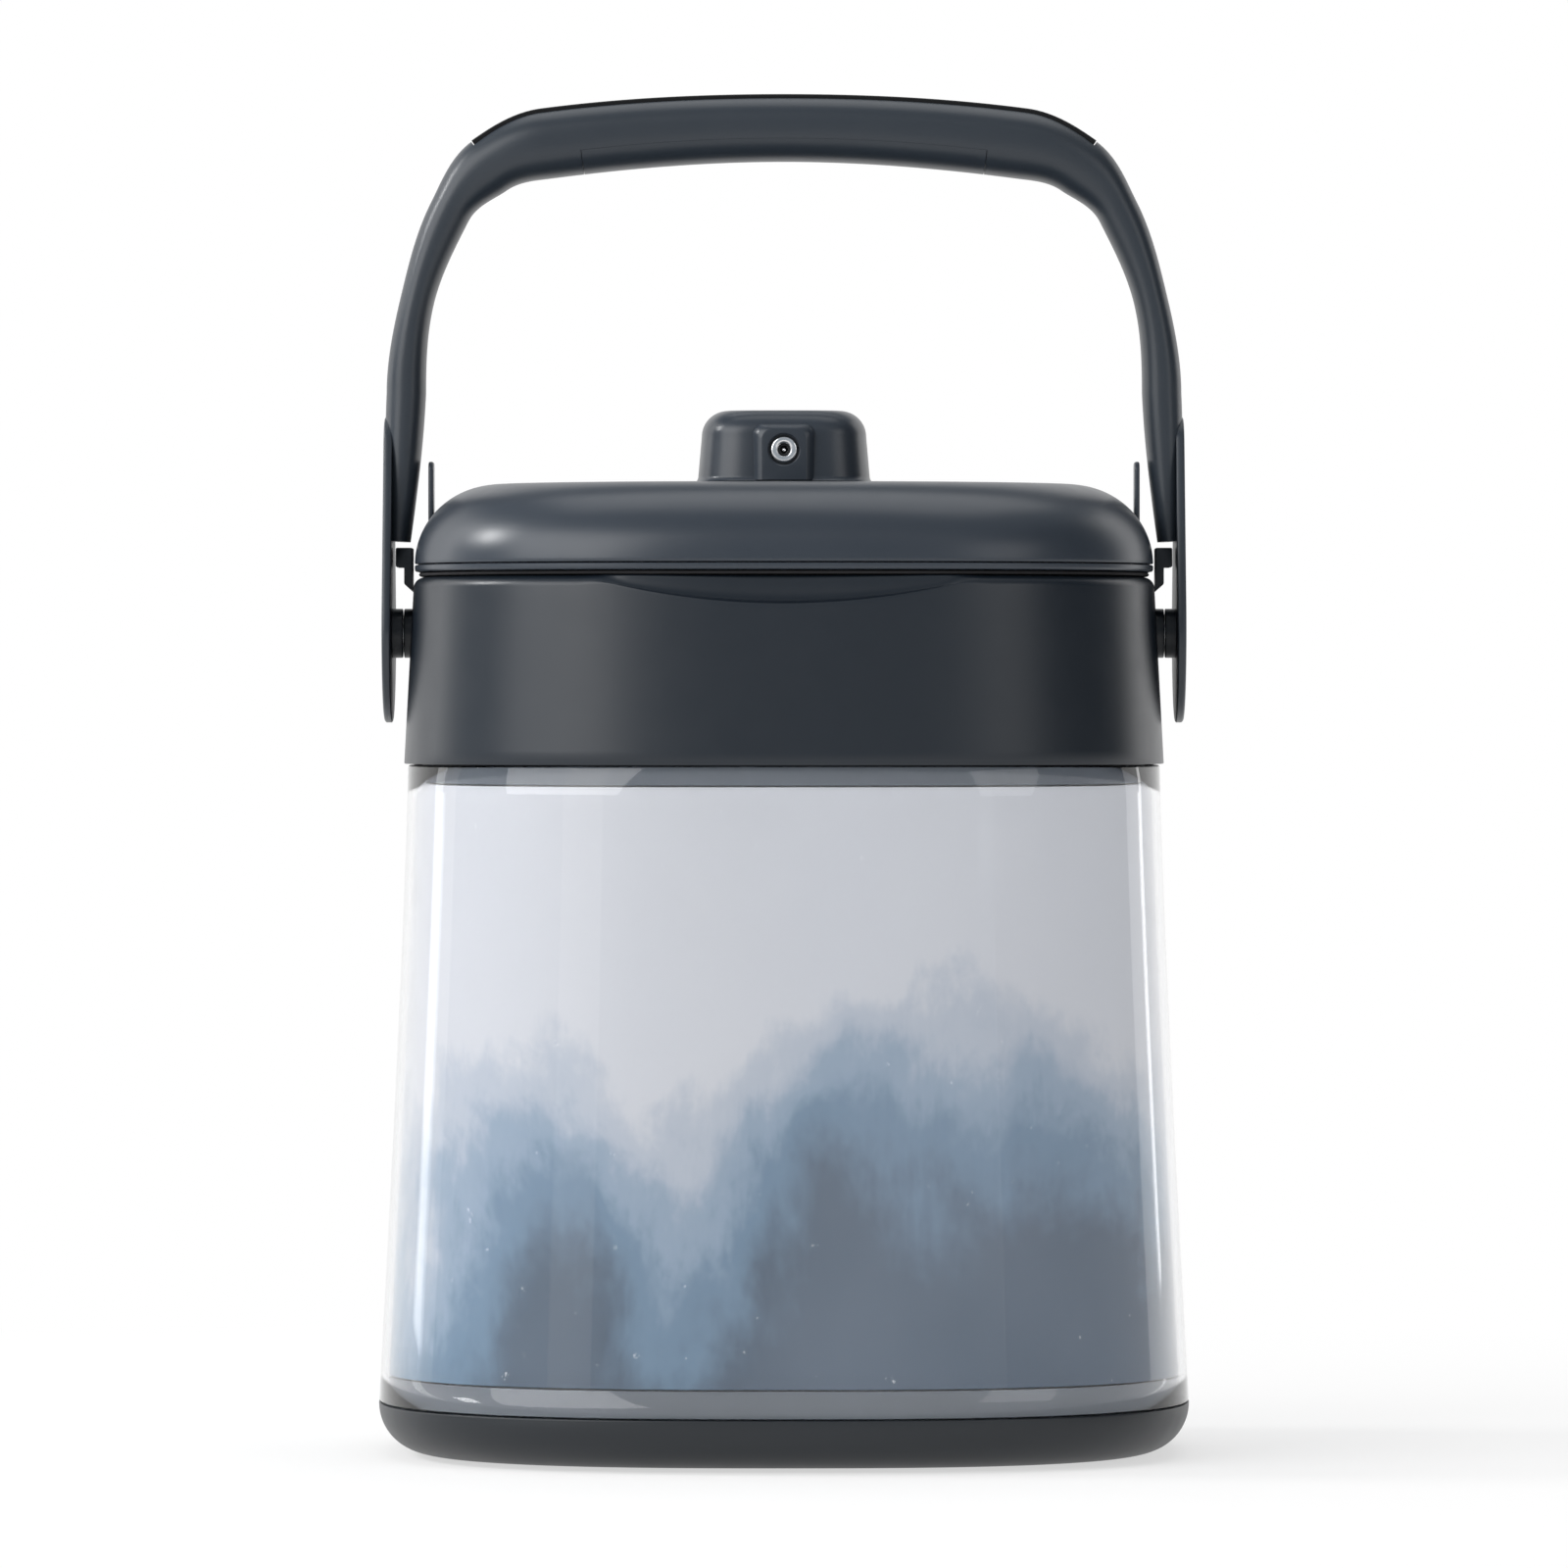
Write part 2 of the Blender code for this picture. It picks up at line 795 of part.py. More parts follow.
def make_tray():
    """The lid's inner pan: a rim that matches the cover, and a plug that enters the mouth."""
    wall_outer = plug_inset
    wall_inner = plug_inset + tray_wall

    def ring(inset, z):
        return body_ring(lid_half_width, inset, z)

    rings = [
        ring(wall_outer + tray_wall, tray_floor_z),
        ring(wall_outer, tray_floor_z + tray_wall),
        ring(wall_outer, rim_bottom_z),
        ring(rim_edge_radius, rim_bottom_z),
        ring(0, rim_bottom_z + rim_edge_radius),
        ring(0, rim_top_z),
        ring(wall_inner, rim_top_z),
        ring(wall_inner, tray_floor_z + tray_wall),
    ]
    tray = shown(loft("lid_tray", rings), "charcoal")
    tower_low = tray_floor_z + tray_wall / 2
    tower_high = tray_floor_z + tray_wall + tower_height
    place = (0, pump_y, 0)
    join(tray, rod("tower", tower_radius, tower_low, tower_high, place))
    floor_low = tray_floor_z - cut_overrun
    floor_top = tray_floor_z + tray_wall
    cut(tray, rod("tower_bore", motor_radius + fit_gap, floor_top, tower_high + cut_overrun, place))
    hole_top = floor_top + cut_overrun
    cut(tray, rod("shaft_hole", shaft_hole_radius, floor_low, hole_top, place, steps=pipe_steps))
    for side in (-1, 1):
        cut(tray, notch_block("rim_notch_%+d" % side, side, notch_floor_x, notch_half_depth))
        hole_place = (side * pipe_half_spacing, pipe_y, 0)
        radius = pipe_radius + slide_gap
        hole = rod("tray_pipe_hole_%+d" % side, radius, floor_low, rim_top_z, hole_place, steps=pipe_steps)
        cut(tray, hole)
    for number, (x, y) in enumerate(post_places(), 1):
        radius = lid_screw_radius + bolt_clearance
        name = "screw_hole_%d" % number
        cut(tray, rod(name, radius, floor_low, hole_top, (x, y, 0), steps=small_turn_count))


def make_gasket():
    """The seal between the lid's rim and the tub's flange, with a thin lip out over the collar."""
    low = flange_top_z + fit_gap
    high = rim_bottom_z - fit_gap
    lip_low = collar_top_z + fit_gap
    rings = [
        body_ring(lid_half_width, gasket_inset, low),
        body_ring(lid_half_width, gasket_inset, lip_low),
        body_ring(lid_half_width, gasket_lip_inset, lip_low),
        body_ring(lid_half_width, gasket_lip_inset, high),
        body_ring(lid_half_width, gasket_inset + gasket_width, high),
        body_ring(lid_half_width, gasket_inset + gasket_width, low),
    ]
    shown(loft("lid_gasket", rings, closed_profile=True), "rubber")


def make_lid_insulation():
    inset = plug_inset + tray_wall + foam_clearance
    low = tray_floor_z + tray_wall + fit_gap
    high = low + foam_height
    rings = [body_ring(lid_half_width, inset, low), body_ring(lid_half_width, inset, high)]
    foam = shown(loft("lid_insulation", rings), "foam")
    span = (low - cut_overrun, high + cut_overrun)
    cut(foam, rod("foam_tower_hole", tower_radius + foam_clearance, *span, (0, pump_y, 0)))
    for side in (-1, 1):
        place = (side * pipe_half_spacing, pipe_y, 0)
        radius = pipe_radius + foam_clearance
        cut(foam, rod("foam_pipe_hole_%+d" % side, radius, *span, place, steps=pipe_steps))
    for number, (x, y) in enumerate(post_places(), 1):
        name = "foam_post_hole_%d" % number
        radius = post_radius + foam_clearance
        cut(foam, rod(name, radius, *span, (x, y, 0), steps=small_turn_count))


def make_lid_screws():
    """Pan-head screws up through the tray into the cover's posts."""
    head_top = tray_floor_z - fit_gap
    head_low = head_top - screw_head_height
    tip = tray_floor_z + lid_screw_length
    profile = [
        (0, tip),
        (lid_screw_radius, tip),
        (lid_screw_radius, head_top),
        (screw_head_radius, head_top),
        (screw_head_radius, head_low + screw_head_height / 2),
        (screw_head_radius / 2, head_low),
        (0, head_low),
    ]
    for number, (x, y) in enumerate(post_places(), 1):
        shown(turned("lid_screw_%d" % number, profile, (x, y, 0), steps=small_turn_count), "steel")


# Pump hood with the power socket and the hose port


hood_top_z = hood_base_z + hood_height
hood_front_y = hood_y - hood_half_depth
panel_face_y = hood_front_y - panel_proud
panel_height = hood_height - panel_top_gap
jack_z = hood_base_z + panel_height - jack_panel_drop
jack_seat_depth = panel_proud + hood_wall + jack_boss_depth
jack_thread_radius = barrel_radius - jack_flange_width
port_inner_y = pipe_y + pipe_bend_radius + fit_gap
port_outer_y = hood_y + hood_half_depth + port_proud
port_low_z = hood_base_z + port_low
port_high_z = hood_top_z - port_top_gap
barb_z = (port_low_z + port_high_z) / 2
board_y = panel_face_y + barrel_set_back + barrel_length + core_tail + fit_gap


def hood_rings(inset, low):
    """Straight drafted sides, then a rounded top edge."""
    edge_z = hood_top_z - hood_edge_radius
    rings = []

    def ring(drawn_in, z):
        half_width = hood_half_width - drawn_in - inset
        half_depth = hood_half_depth - drawn_in - inset
        points = rounded_ring(half_width, half_depth, z, hood_power, hood_count)
        return [point + Vector((0, hood_y, 0)) for point in points]

    if inset == 0:
        rings.append(ring(-hood_foot_flare, low))
        rings.append(ring(0, low + hood_foot_height))
    else:
        rings.append(ring(0, low))
    for across, up in arc_points(1.0, 0, hood_end_degrees, hood_edge_steps):
        z = edge_z + (hood_edge_radius - inset) * up
        rings.append(ring(hood_draft + hood_edge_radius * (1 - across), z))
    return rings


def panel_shape():
    """A raised pad round the socket, with round top corners and sloping sides."""
    rings = []
    for y, half_width, height in (
        (panel_face_y, panel_half_width, panel_height - panel_top_slope),
        (hood_front_y + panel_root_depth, panel_base_half_width, panel_height),
    ):
        radius = panel_corner_radius
        corner = arc_points(radius, 0, 90, panel_corner_steps)
        right = [(half_width - radius + across, height - radius + up) for across, up in corner]
        outline = [(half_width, hood_foot_height)] + right
        outline += [(-x, z) for x, z in reversed(outline)]
        rings.append([Vector((x, y, hood_base_z + z)) for x, z in outline])
    return loft("panel", rings)


def make_hood():
    hood = shown(loft("pump_hood", hood_rings(0, hood_base_z)), "charcoal")
    join(hood, panel_shape())
    cut(hood, loft("hood_hollow", hood_rings(hood_wall, hood_base_z - cut_overrun)))
    place = (0, panel_face_y, jack_z)
    boss_top = -jack_seat_depth + jack_boss_depth
    join(hood, rod("jack_boss", nut_radius, -jack_seat_depth, boss_top, place, "-Y"))
    recess = barrel_set_back + barrel_flange + fit_gap
    cut(hood, rod("jack_recess", barrel_radius + jack_recess_gap, -recess, cut_overrun, place, "-Y"))
    hole_depth = jack_seat_depth + cut_overrun
    cut(hood, rod("jack_hole", jack_thread_radius + fit_gap, -hole_depth, cut_overrun, place, "-Y"))
    low = (-port_half_width - fit_gap, port_inner_y, port_low_z - fit_gap)
    back_y = hood_y + hood_half_depth + cut_overrun
    high = (port_half_width + fit_gap, back_y, port_high_z + fit_gap)
    cut(hood, block("port_hole", low, high))


def make_jack():
    """A panel socket for a round power plug: barrel, plastic core, centre pin and nut."""
    place = (0, panel_face_y + barrel_set_back, jack_z)
    shown(
        turned(
            "jack_barrel",
            [
                (barrel_bore, 0),
                (barrel_radius, 0),
                (barrel_radius, -barrel_flange),
                (jack_thread_radius, -barrel_flange),
                (jack_thread_radius, -barrel_length),
                (barrel_bore, -barrel_length),
            ],
            place, "-Y", closed_profile=True,
        ),
        "nickel",
    )
    shown(
        turned(
            "jack_core",
            [
                (core_bore, -core_set_back),
                (barrel_bore - slide_gap / 2, -core_set_back),
                (barrel_bore - slide_gap / 2, -barrel_length - core_tail),
                (0, -barrel_length - core_tail),
                (0, -core_depth),
                (core_bore, -core_depth),
            ],
            place, "-Y", closed_profile=True, steps=pipe_steps,
        ),
        "black",
    )
    pin_low = -core_depth + fit_gap
    shown(rod("jack_pin", pin_radius, pin_low, -pin_set_back, place, "-Y", small_turn_count), "nickel")
    nut_top = -jack_seat_depth - fit_gap
    nut_low = nut_top - nut_height
    nut_place = (0, panel_face_y, jack_z)
    nut = shown(rod("jack_nut", nut_radius, nut_low, nut_top, nut_place, "-Y", steps=nut_sides), "nickel")
    bore = jack_thread_radius + fit_gap
    bore_low = nut_low - cut_overrun
    bore_top = nut_top + cut_overrun
    cut(nut, rod("nut_bore", bore, bore_low, bore_top, nut_place, "-Y", pipe_steps))


def make_board():
    """The speed and timer board stands on the lid behind the socket."""
    low = (-board_half_width, board_y, hood_base_z)
    high = (board_half_width, board_y + board_thickness, hood_top_z - board_top_gap)
    board = shown(block("control_board", low, high), "board")
    chip_low = (-chip_half_width, board_y - chip_height, hood_base_z + chip_lift)
    chip_high = (chip_half_width, board_y + board_thickness / 2, hood_base_z + chip_lift + chip_size)
    join(board, block("chip", chip_low, chip_high))


def make_hose_port():
    """The block in the hood's back where the pad's twin hose plugs on."""
    low = (-port_half_width, port_inner_y, port_low_z)
    high = (port_half_width, port_outer_y, port_high_z)
    port = shown(block("hose_port", low, high), "black")
    soften(port, port_edge)
    port_depth = port_outer_y - port_inner_y
    for side in (-1, 1):
        place = (side * pipe_half_spacing, port_outer_y, barb_z)
        root = -port_depth / 2
        join(port, rod("port_barb_%+d" % side, barb_radius, root, barb_length, place, "Y", pipe_steps))
        low_end = -port_depth - cut_overrun
        high_end = barb_length + cut_overrun
        cut(port, rod("port_bore_%+d" % side, barb_bore, low_end, high_end, place, "Y", pipe_steps))


# Pump


strainer_low_z = liner_floor_z + liner_wall + strainer_floor_gap
housing_radius = pipe_y - pump_y - spout_overhang
housing_bottom_z = strainer_low_z + strainer_height + fit_gap
housing_top_z = housing_bottom_z + housing_height


def make_motor():
    low = tray_floor_z + tray_wall + fit_gap
    high = low + motor_height
    place = (0, pump_y, 0)
    end_radius = motor_radius * motor_end_share
    profile = [
        (0, high + motor_end_cap),
        (end_radius, high + motor_end_cap),
        (end_radius, high),
        (motor_radius, high),
        (motor_radius, low),
        (shaft_radius + slide_gap, low),
        (shaft_radius + slide_gap, low + shaft_socket_depth),
        (0, low + shaft_socket_depth),
    ]
    shown(turned("pump_motor", profile, place), "steel")


def make_column():
    """The hollow stem that carries the pump under the lid."""
    top = tray_floor_z - fit_gap
    low = housing_top_z + fit_gap
    bore = column_radius - column_wall
    profile = [
        (bore, top),
        (column_flange_radius, top),
        (column_flange_radius, top - column_flange_height),
        (column_radius, top - column_flange_height),
        (column_radius, low),
        (bore, low),
    ]
    shown(turned("pump_column", profile, (0, pump_y, 0), closed_profile=True), "white")


def make_housing():
    """The round pump chamber, open below, with a spout up to the supply pipe."""
    inner = housing_radius - housing_wall
    roof = housing_top_z - housing_wall
    hole = shaft_radius + slide_gap
    profile = [
        (hole, housing_top_z),
        (housing_radius, housing_top_z),
        (housing_radius, housing_bottom_z),
        (inner, housing_bottom_z),
        (inner, roof),
        (hole, roof),
    ]
    housing = shown(turned("pump_housing", profile, (0, pump_y, 0), closed_profile=True), "black")
    place = (-pipe_half_spacing, pipe_y, 0)
    spout_low = housing_top_z - spout_height
    spout_top = housing_top_z - merge_distance
    join(housing, rod("spout", spout_radius, spout_low, spout_top, place, steps=pipe_steps))
    seat_z = housing_top_z - spout_height / 2
    top = housing_top_z + cut_overrun
    cut(housing, rod("spout_bore", pipe_radius + fit_gap, seat_z, top, place, steps=pipe_steps))
    half = spout_radius / 3
    channel_low = (-pipe_half_spacing - half, pump_y + inner / 2, spout_low + housing_wall)
    channel_high = (-pipe_half_spacing + half, pipe_y, seat_z + cut_overrun)
    cut(housing, block("spout_channel", channel_low, channel_high))


def make_impeller():
    low = housing_bottom_z + impeller_lift
    high = low + impeller_height
    place = (0, pump_y, 0)
    profile = [
        (0, high),
        (impeller_hub_radius, high),
        (impeller_hub_radius, low + impeller_disc),
        (impeller_radius, low + impeller_disc),
        (impeller_radius, low),
        (0, low),
    ]
    impeller = shown(turned("impeller", profile, place), "white")
    for number in range(blade_count):
        blade = block(
            "blade_%d" % number,
            (impeller_hub_radius / 2, -blade_thickness / 2, low + impeller_disc / 2),
            (impeller_radius - blade_thickness / 2, blade_thickness / 2, high - impeller_disc),
        )
        blade.rotation_euler.z = 2 * math.pi * (number + 0.5) / blade_count
        blade.location = place
        join(impeller, blade)
    bore = shaft_radius + fit_gap
    top = high + cut_overrun
    cut(impeller, rod("impeller_bore", bore, low + impeller_disc, top, place, steps=small_turn_count))
    shaft_low = low + impeller_disc + fit_gap
    shaft_high = tray_floor_z + tray_wall + shaft_socket_depth - slide_gap
    shown(rod("drive_shaft", shaft_radius, shaft_low, shaft_high, place, steps=small_turn_count), "steel")


def make_strainer():
    """The slotted intake cup that the water is drawn through."""
    low = strainer_low_z
    high = low + strainer_height
    inner = housing_radius - strainer_wall
    profile = [
        (inner, high),
        (housing_radius, high),
        (housing_radius, low),
        (0, low),
        (0, low + strainer_wall),
        (inner, low + strainer_wall),
    ]
    strainer = shown(turned("intake_strainer", profile, (0, pump_y, 0), closed_profile=True), "black")
    for number in range(slot_count // 2):
        slot = block(
            "slot_%d" % number,
            (-housing_radius - cut_overrun, -slot_half_width, low + slot_low),
            (housing_radius + cut_overrun, slot_half_width, high - slot_low),
        )
        slot.rotation_euler.z = 2 * math.pi * (number + 0.5) / slot_count
        slot.location = (0, pump_y, 0)
        cut(strainer, slot)


def make_pipes():
    """Supply pipe from the pump to the port, and the return pipe from the port into the tub."""
    end_y = port_inner_y - fit_gap
    bend_z = barb_z - pipe_bend_radius
    supply_low = housing_top_z - spout_height / 2 + fit_gap
    return_low = tray_floor_z - return_drop
    bend = arc_points(pipe_bend_radius, 180, 90, pipe_bend_steps)
    for name, side, low in (("supply_pipe", -1, supply_low), ("return_pipe", 1, return_low)):
        x = side * pipe_half_spacing
        path = [(Vector((x, pipe_y, low)), 0.0)]
        for i, (across, up) in enumerate(bend):
            point = Vector((x, end_y + across, bend_z + up))
            path.append((point, math.pi / 2 * i / (pipe_bend_steps - 1)))
        outer = [pipe_ring(point, lean, pipe_radius) for point, lean in path]
        inner = [pipe_ring(point, lean, pipe_radius - pipe_wall) for point, lean in reversed(path)]
        shown(loft(name, outer + inner, closed_profile=True), "silicone")


def pipe_ring(centre, lean, radius):
    """A circle square to a pipe that leans back from upright by this angle."""
    ring = []
    for i in range(pipe_steps):
        angle = 2 * math.pi * i / pipe_steps
        across, along_lean = radius * math.cos(angle), radius * math.sin(angle)
        ring.append(centre + Vector((across, along_lean * math.cos(lean), -along_lean * math.sin(lean))))
    return ring


def make_motor_lead():
    """The twin lead from the board over to the motor's end cap."""
    start = Vector((lead_x, board_y + board_thickness + fit_gap, hood_base_z + lead_height))
    end = Vector((0, pump_y, tray_floor_z + tray_wall + fit_gap + motor_height + motor_end_cap + fit_gap))
    knee = Vector((end.x, end.y, start.z))
    curve = bpy.data.curves.new("motor_lead", "CURVE")
    curve.dimensions = "3D"
    curve.bevel_depth = lead_radius
    curve.bevel_resolution = 1
    curve.use_fill_caps = True
    spline = curve.splines.new("POLY")
    spline.points.add(lead_count - 1)
    for i, point in enumerate(spline.points):
        share = i / (lead_count - 1)
        place = start * (1 - share) ** 2 + knee * 2 * share * (1 - share) + end * share**2
        point.co = (*place, 1)
    lead = bpy.data.objects.new("motor_lead", curve)
    lead.data.materials.append(finishes["rubber"])
    parts.objects.link(lead)


# Handle


strip_half_length = lid_half_width - strip_end_inset
pad_half_length = lid_half_width - pad_end_inset
hub_inner_x = boss_face_x + fit_gap
paddle_inner_x = boss_face_x + hub_length
paddle_outer_x = paddle_inner_x + paddle_thickness
pivot_head_radius = bush_radius + screw_head_thickness
head_recess_radius = pivot_head_radius + head_recess_gap


def handle_path(stations_per_piece=path_steps):
    """Centreline from the right foot over to the left: a straight foot, the arm's arc, the corner's
    arc and half of the bar's arc, mirrored. Each point has its direction and a place along the way."""
    lean = math.radians(arm_lean_degrees)
    slope = math.radians(bar_slope_degrees)
    half = []

    foot = Vector((paddle_inner_x - arm_foot_inset, 0, catch_high_z + arm_foot_gap))
    knee = Vector((paddle_inner_x - arm_knee_inset, 0, pivot_z + arm_knee_rise))
    for i in range(arm_foot_steps):
        share = i / arm_foot_steps
        half.append((foot.lerp(knee, share), (knee - foot).normalized(), share))

    for i in range(stations_per_piece):
        turn = lean * i / stations_per_piece
        x = knee.x - arm_arc_radius * (1 - math.cos(turn))
        z = knee.z + arm_arc_radius * math.sin(turn)
        share = i / stations_per_piece
        half.append((Vector((x, 0, z)), Vector((-math.sin(turn), 0, math.cos(turn))), 1 + share))

    arm_end_x = knee.x - arm_arc_radius * (1 - math.cos(lean))
    arm_end_z = knee.z + arm_arc_radius * math.sin(lean)
    corner_steps = stations_per_piece + 2
    for i in range(corner_steps):
        turn = lean + (math.pi / 2 - slope - lean) * i / corner_steps
        x = arm_end_x - corner_arc_radius * (math.cos(lean) - math.cos(turn))
        z = arm_end_z + corner_arc_radius * (math.sin(turn) - math.sin(lean))
        half.append((Vector((x, 0, z)), Vector((-math.sin(turn), 0, math.cos(turn))), 2 + i / corner_steps))

    bar_turn = math.pi / 2 - slope
    bar_x = arm_end_x - corner_arc_radius * (math.cos(lean) - math.cos(bar_turn))
    bar_z = arm_end_z + corner_arc_radius * (math.sin(bar_turn) - math.sin(lean))
    bar_radius = bar_x / math.sin(slope)
    for i in range(stations_per_piece):
        turn = slope * (1 - i / stations_per_piece)
        x = bar_radius * math.sin(turn)
        z = bar_z + bar_radius * (math.cos(turn) - math.cos(slope))
        share = i / stations_per_piece
        half.append((Vector((x, 0, z)), Vector((-math.cos(turn), 0, math.sin(turn))), 3 + share))

    top = Vector((0, 0, bar_z + bar_radius * (1 - math.cos(slope))))
    mirrored = [
        (Vector((-p.x, 0, p.z)), Vector((d.x, 0, -d.z)), way) for p, d, way in reversed(half)
    ]
    return half + [(top, Vector((-1, 0, 0)), 4.0)] + mirrored


def between(way, values):
    """Reads a list of sizes, one for each whole number along the way, with smooth steps."""
    i = min(int(way), len(values) - 2)
    share = way - i
    share = share * share * (3 - 2 * share)
    return values[i] + (values[i + 1] - values[i]) * share


def handle_thickness(way):
    if way < 1:
        return arm_foot_thickness + (arm_lower_thickness - arm_foot_thickness) * math.sin(way * math.pi / 2)
    if way < 2:
        return between(way * 2 - 2, [arm_lower_thickness, arm_middle_thickness, arm_top_thickness])
    if way < 3:
        return between(way * 2 - 4, [arm_top_thickness, corner_thickness, shoulder_thickness])
    return between(way - 3, [shoulder_thickness, bar_thickness])


def handle_half_depth(way):
    if way < 2:
        return arm_half_depth
    return between(way - 2, [arm_half_depth, bar_half_depth, bar_half_depth])


def sweep(name, stations, section_at):
    """Carries a section, as (outward, depth) points, along the handle's path."""
    rings = []
    for point, direction, way in stations:
        outward = Vector((direction.z, 0, -direction.x))
        rings.append([point + outward * out + Vector((0, depth, 0)) for out, depth in section_at(way)])
    return loft(name, rings)


def grip_stations(half_length, count):
    """Evenly spaced stations along the top bar and its shoulders, found on the handle's path."""
    path = handle_path(grip_path_steps)
    inside = [station for station in path if abs(station[0].x) <= half_length]
    picked = [inside[round(i * (len(inside) - 1) / (count - 1))] for i in range(count)]
    return picked


def full_section(way):
    thickness = handle_thickness(way)
    half_depth = handle_half_depth(way)
    points = []
    for i in range(section_count):
        angle = 2 * math.pi * (i + 0.5) / section_count
        c, s = math.cos(angle), math.sin(angle)
        out = thickness / 2 * math.copysign(abs(c) ** (2 / section_power), c)
        depth = half_depth * math.copysign(abs(s) ** (2 / section_power), s)
        points.append((out, depth))
    return points


def strip_section(extra):
    def section(way):
        top = handle_thickness(way) / 2
        low = top - strip_thickness - extra
        high = top + (cut_overrun if extra else 0)
        half_depth = strip_half_depth + extra
        return [(low, -half_depth), (high, -half_depth), (high, half_depth), (low, half_depth)]

    return section


def pad_section(extra):
    """The lower half of the bar's section, as a shell. With extra it is the pocket for that shell."""

    def section(way):
        thickness = handle_thickness(way) / 2
        half_depth = handle_half_depth(way)
        outer_grow = cut_overrun if extra else 0
        wall = pad_wall + extra
        reach = math.radians(pad_reach_degrees + (pad_side_degrees if extra else 0))
        points = []
        forward = range(pad_arc_steps + 1)
        for grow, order in ((outer_grow, forward), (-wall, reversed(forward))):
            for i in order:
                angle = math.pi + reach * (2 * i / pad_arc_steps - 1)
                c, s = math.cos(angle), math.sin(angle)
                out = (thickness + grow) * math.copysign(abs(c) ** (2 / section_power), c)
                depth = (half_depth + grow) * math.copysign(abs(s) ** (2 / section_power), s)
                points.append((out, depth))
        return points

    return section


def paddle_outline():
    """A disc about the pivot drawn out to a narrower neck above it."""
    tangent = math.asin((paddle_radius - paddle_neck_radius) / paddle_neck_rise)
    points = []
    for radius, rise, first, last in (
        (paddle_radius, 0, math.pi - tangent, 2 * math.pi + tangent),
        (paddle_neck_radius, paddle_neck_rise, tangent, math.pi - tangent),
    ):
        steps = paddle_arc_steps * 2 if rise == 0 else paddle_arc_steps
        for i in range(steps):
            angle = first + (last - first) * i / (steps - 1)
            points.append((radius * math.cos(angle), pivot_z + rise + radius * math.sin(angle)))
    return points


def paddle(side):
    """The plate on the outside of the arm's foot, its outer edge chamfered."""
    rings = []
    for x, shrink in (
        (paddle_inner_x, 0),
        (paddle_outer_x - paddle_edge, 0),
        (paddle_outer_x, paddle_edge),
    ):
        middle = pivot_z + paddle_neck_rise / 3
        scale = 1 - shrink / paddle_radius
        rings.append([
            Vector((side * x, y * scale, middle + (z - middle) * scale)) for y, z in paddle_outline()
        ])
    return loft("paddle_%+d" % side, rings)


def make_handle():
    handle = shown(sweep("handle_frame", handle_path(), full_section), "charcoal")
    place = (0, 0, pivot_z)
    for side, axis in ((1, "X"), (-1, "-X")):
        join(handle, paddle(side))
        join(handle, rod("hub_" + axis, boss_radius, hub_inner_x, paddle_inner_x + paddle_edge, place, axis))
        outer_end = paddle_outer_x + cut_overrun
        inner_end = hub_inner_x - cut_overrun
        cut(handle, rod("head_recess_" + axis, head_recess_radius, paddle_inner_x, outer_end, place, axis))
        hole_end = paddle_inner_x + cut_overrun
        cut(handle, rod("bush_hole_" + axis, bush_radius + fit_gap, inner_end, hole_end, place, axis))
    along_strip = grip_stations(strip_half_length + fit_gap, strip_stations)
    cut(handle, sweep("strip_bed", along_strip, strip_section(fit_gap)))
    along_pad = grip_stations(pad_half_length + fit_gap, pad_stations)
    cut(handle, sweep("pad_pocket", along_pad, pad_section(fit_gap)))


def make_grips():
    along_strip = grip_stations(strip_half_length - fit_gap, strip_stations)
    shown(sweep("grip_strip", along_strip, strip_section(0)), "black")
    along_pad = grip_stations(pad_half_length - fit_gap, pad_stations)
    shown(sweep("grip_pad", along_pad, pad_section(0)), "charcoal")


def make_pivots():
    """Each pivot: a shouldered screw into the collar's boss, a bush round it, and a cap over its head."""
    place = (0, 0, pivot_z)
    head_low = paddle_inner_x + fit_gap
    head_high = head_low + screw_head_thickness
    cap_radius = head_recess_radius - fit_gap
    for name, axis in (("right", "X"), ("left", "-X")):
        profile = [
            (0, head_high),
            (pivot_head_radius, head_high),
            (pivot_head_radius, head_low),
            (screw_radius, head_low),
            (screw_radius, boss_root_x + boss_end_wall + fit_gap),
            (0, boss_root_x + boss_end_wall + fit_gap),
        ]
        shown(turned("pivot_screw_" + name, profile, place, axis), "steel")
        bore = screw_radius + bolt_clearance
        bush = pipe("pivot_bush_" + name, bush_radius, bore, hub_inner_x, paddle_inner_x, place, axis)
        shown(bush, "white")
        cap_low = head_high + fit_gap
        cap = [
            (0, paddle_outer_x + cap_proud),
            (cap_radius - cap_proud, paddle_outer_x + cap_proud),
            (cap_radius, paddle_outer_x),
            (cap_radius, cap_low),
            (0, cap_low),
        ]
        shown(turned("pivot_cap_" + name, cap, place, axis), "charcoal")


def carry(name, place, pieces):
    """Hangs the pieces of one moving body on an empty that stands on the joint's axis."""
    axis = bpy.data.objects.new(name, None)
    axis.location = place
    parts.objects.link(axis)
    for piece in pieces.split():
        obj = bpy.data.objects[piece]
        obj.parent = axis
        obj.matrix_parent_inverse = Matrix.Translation(place).inverted()


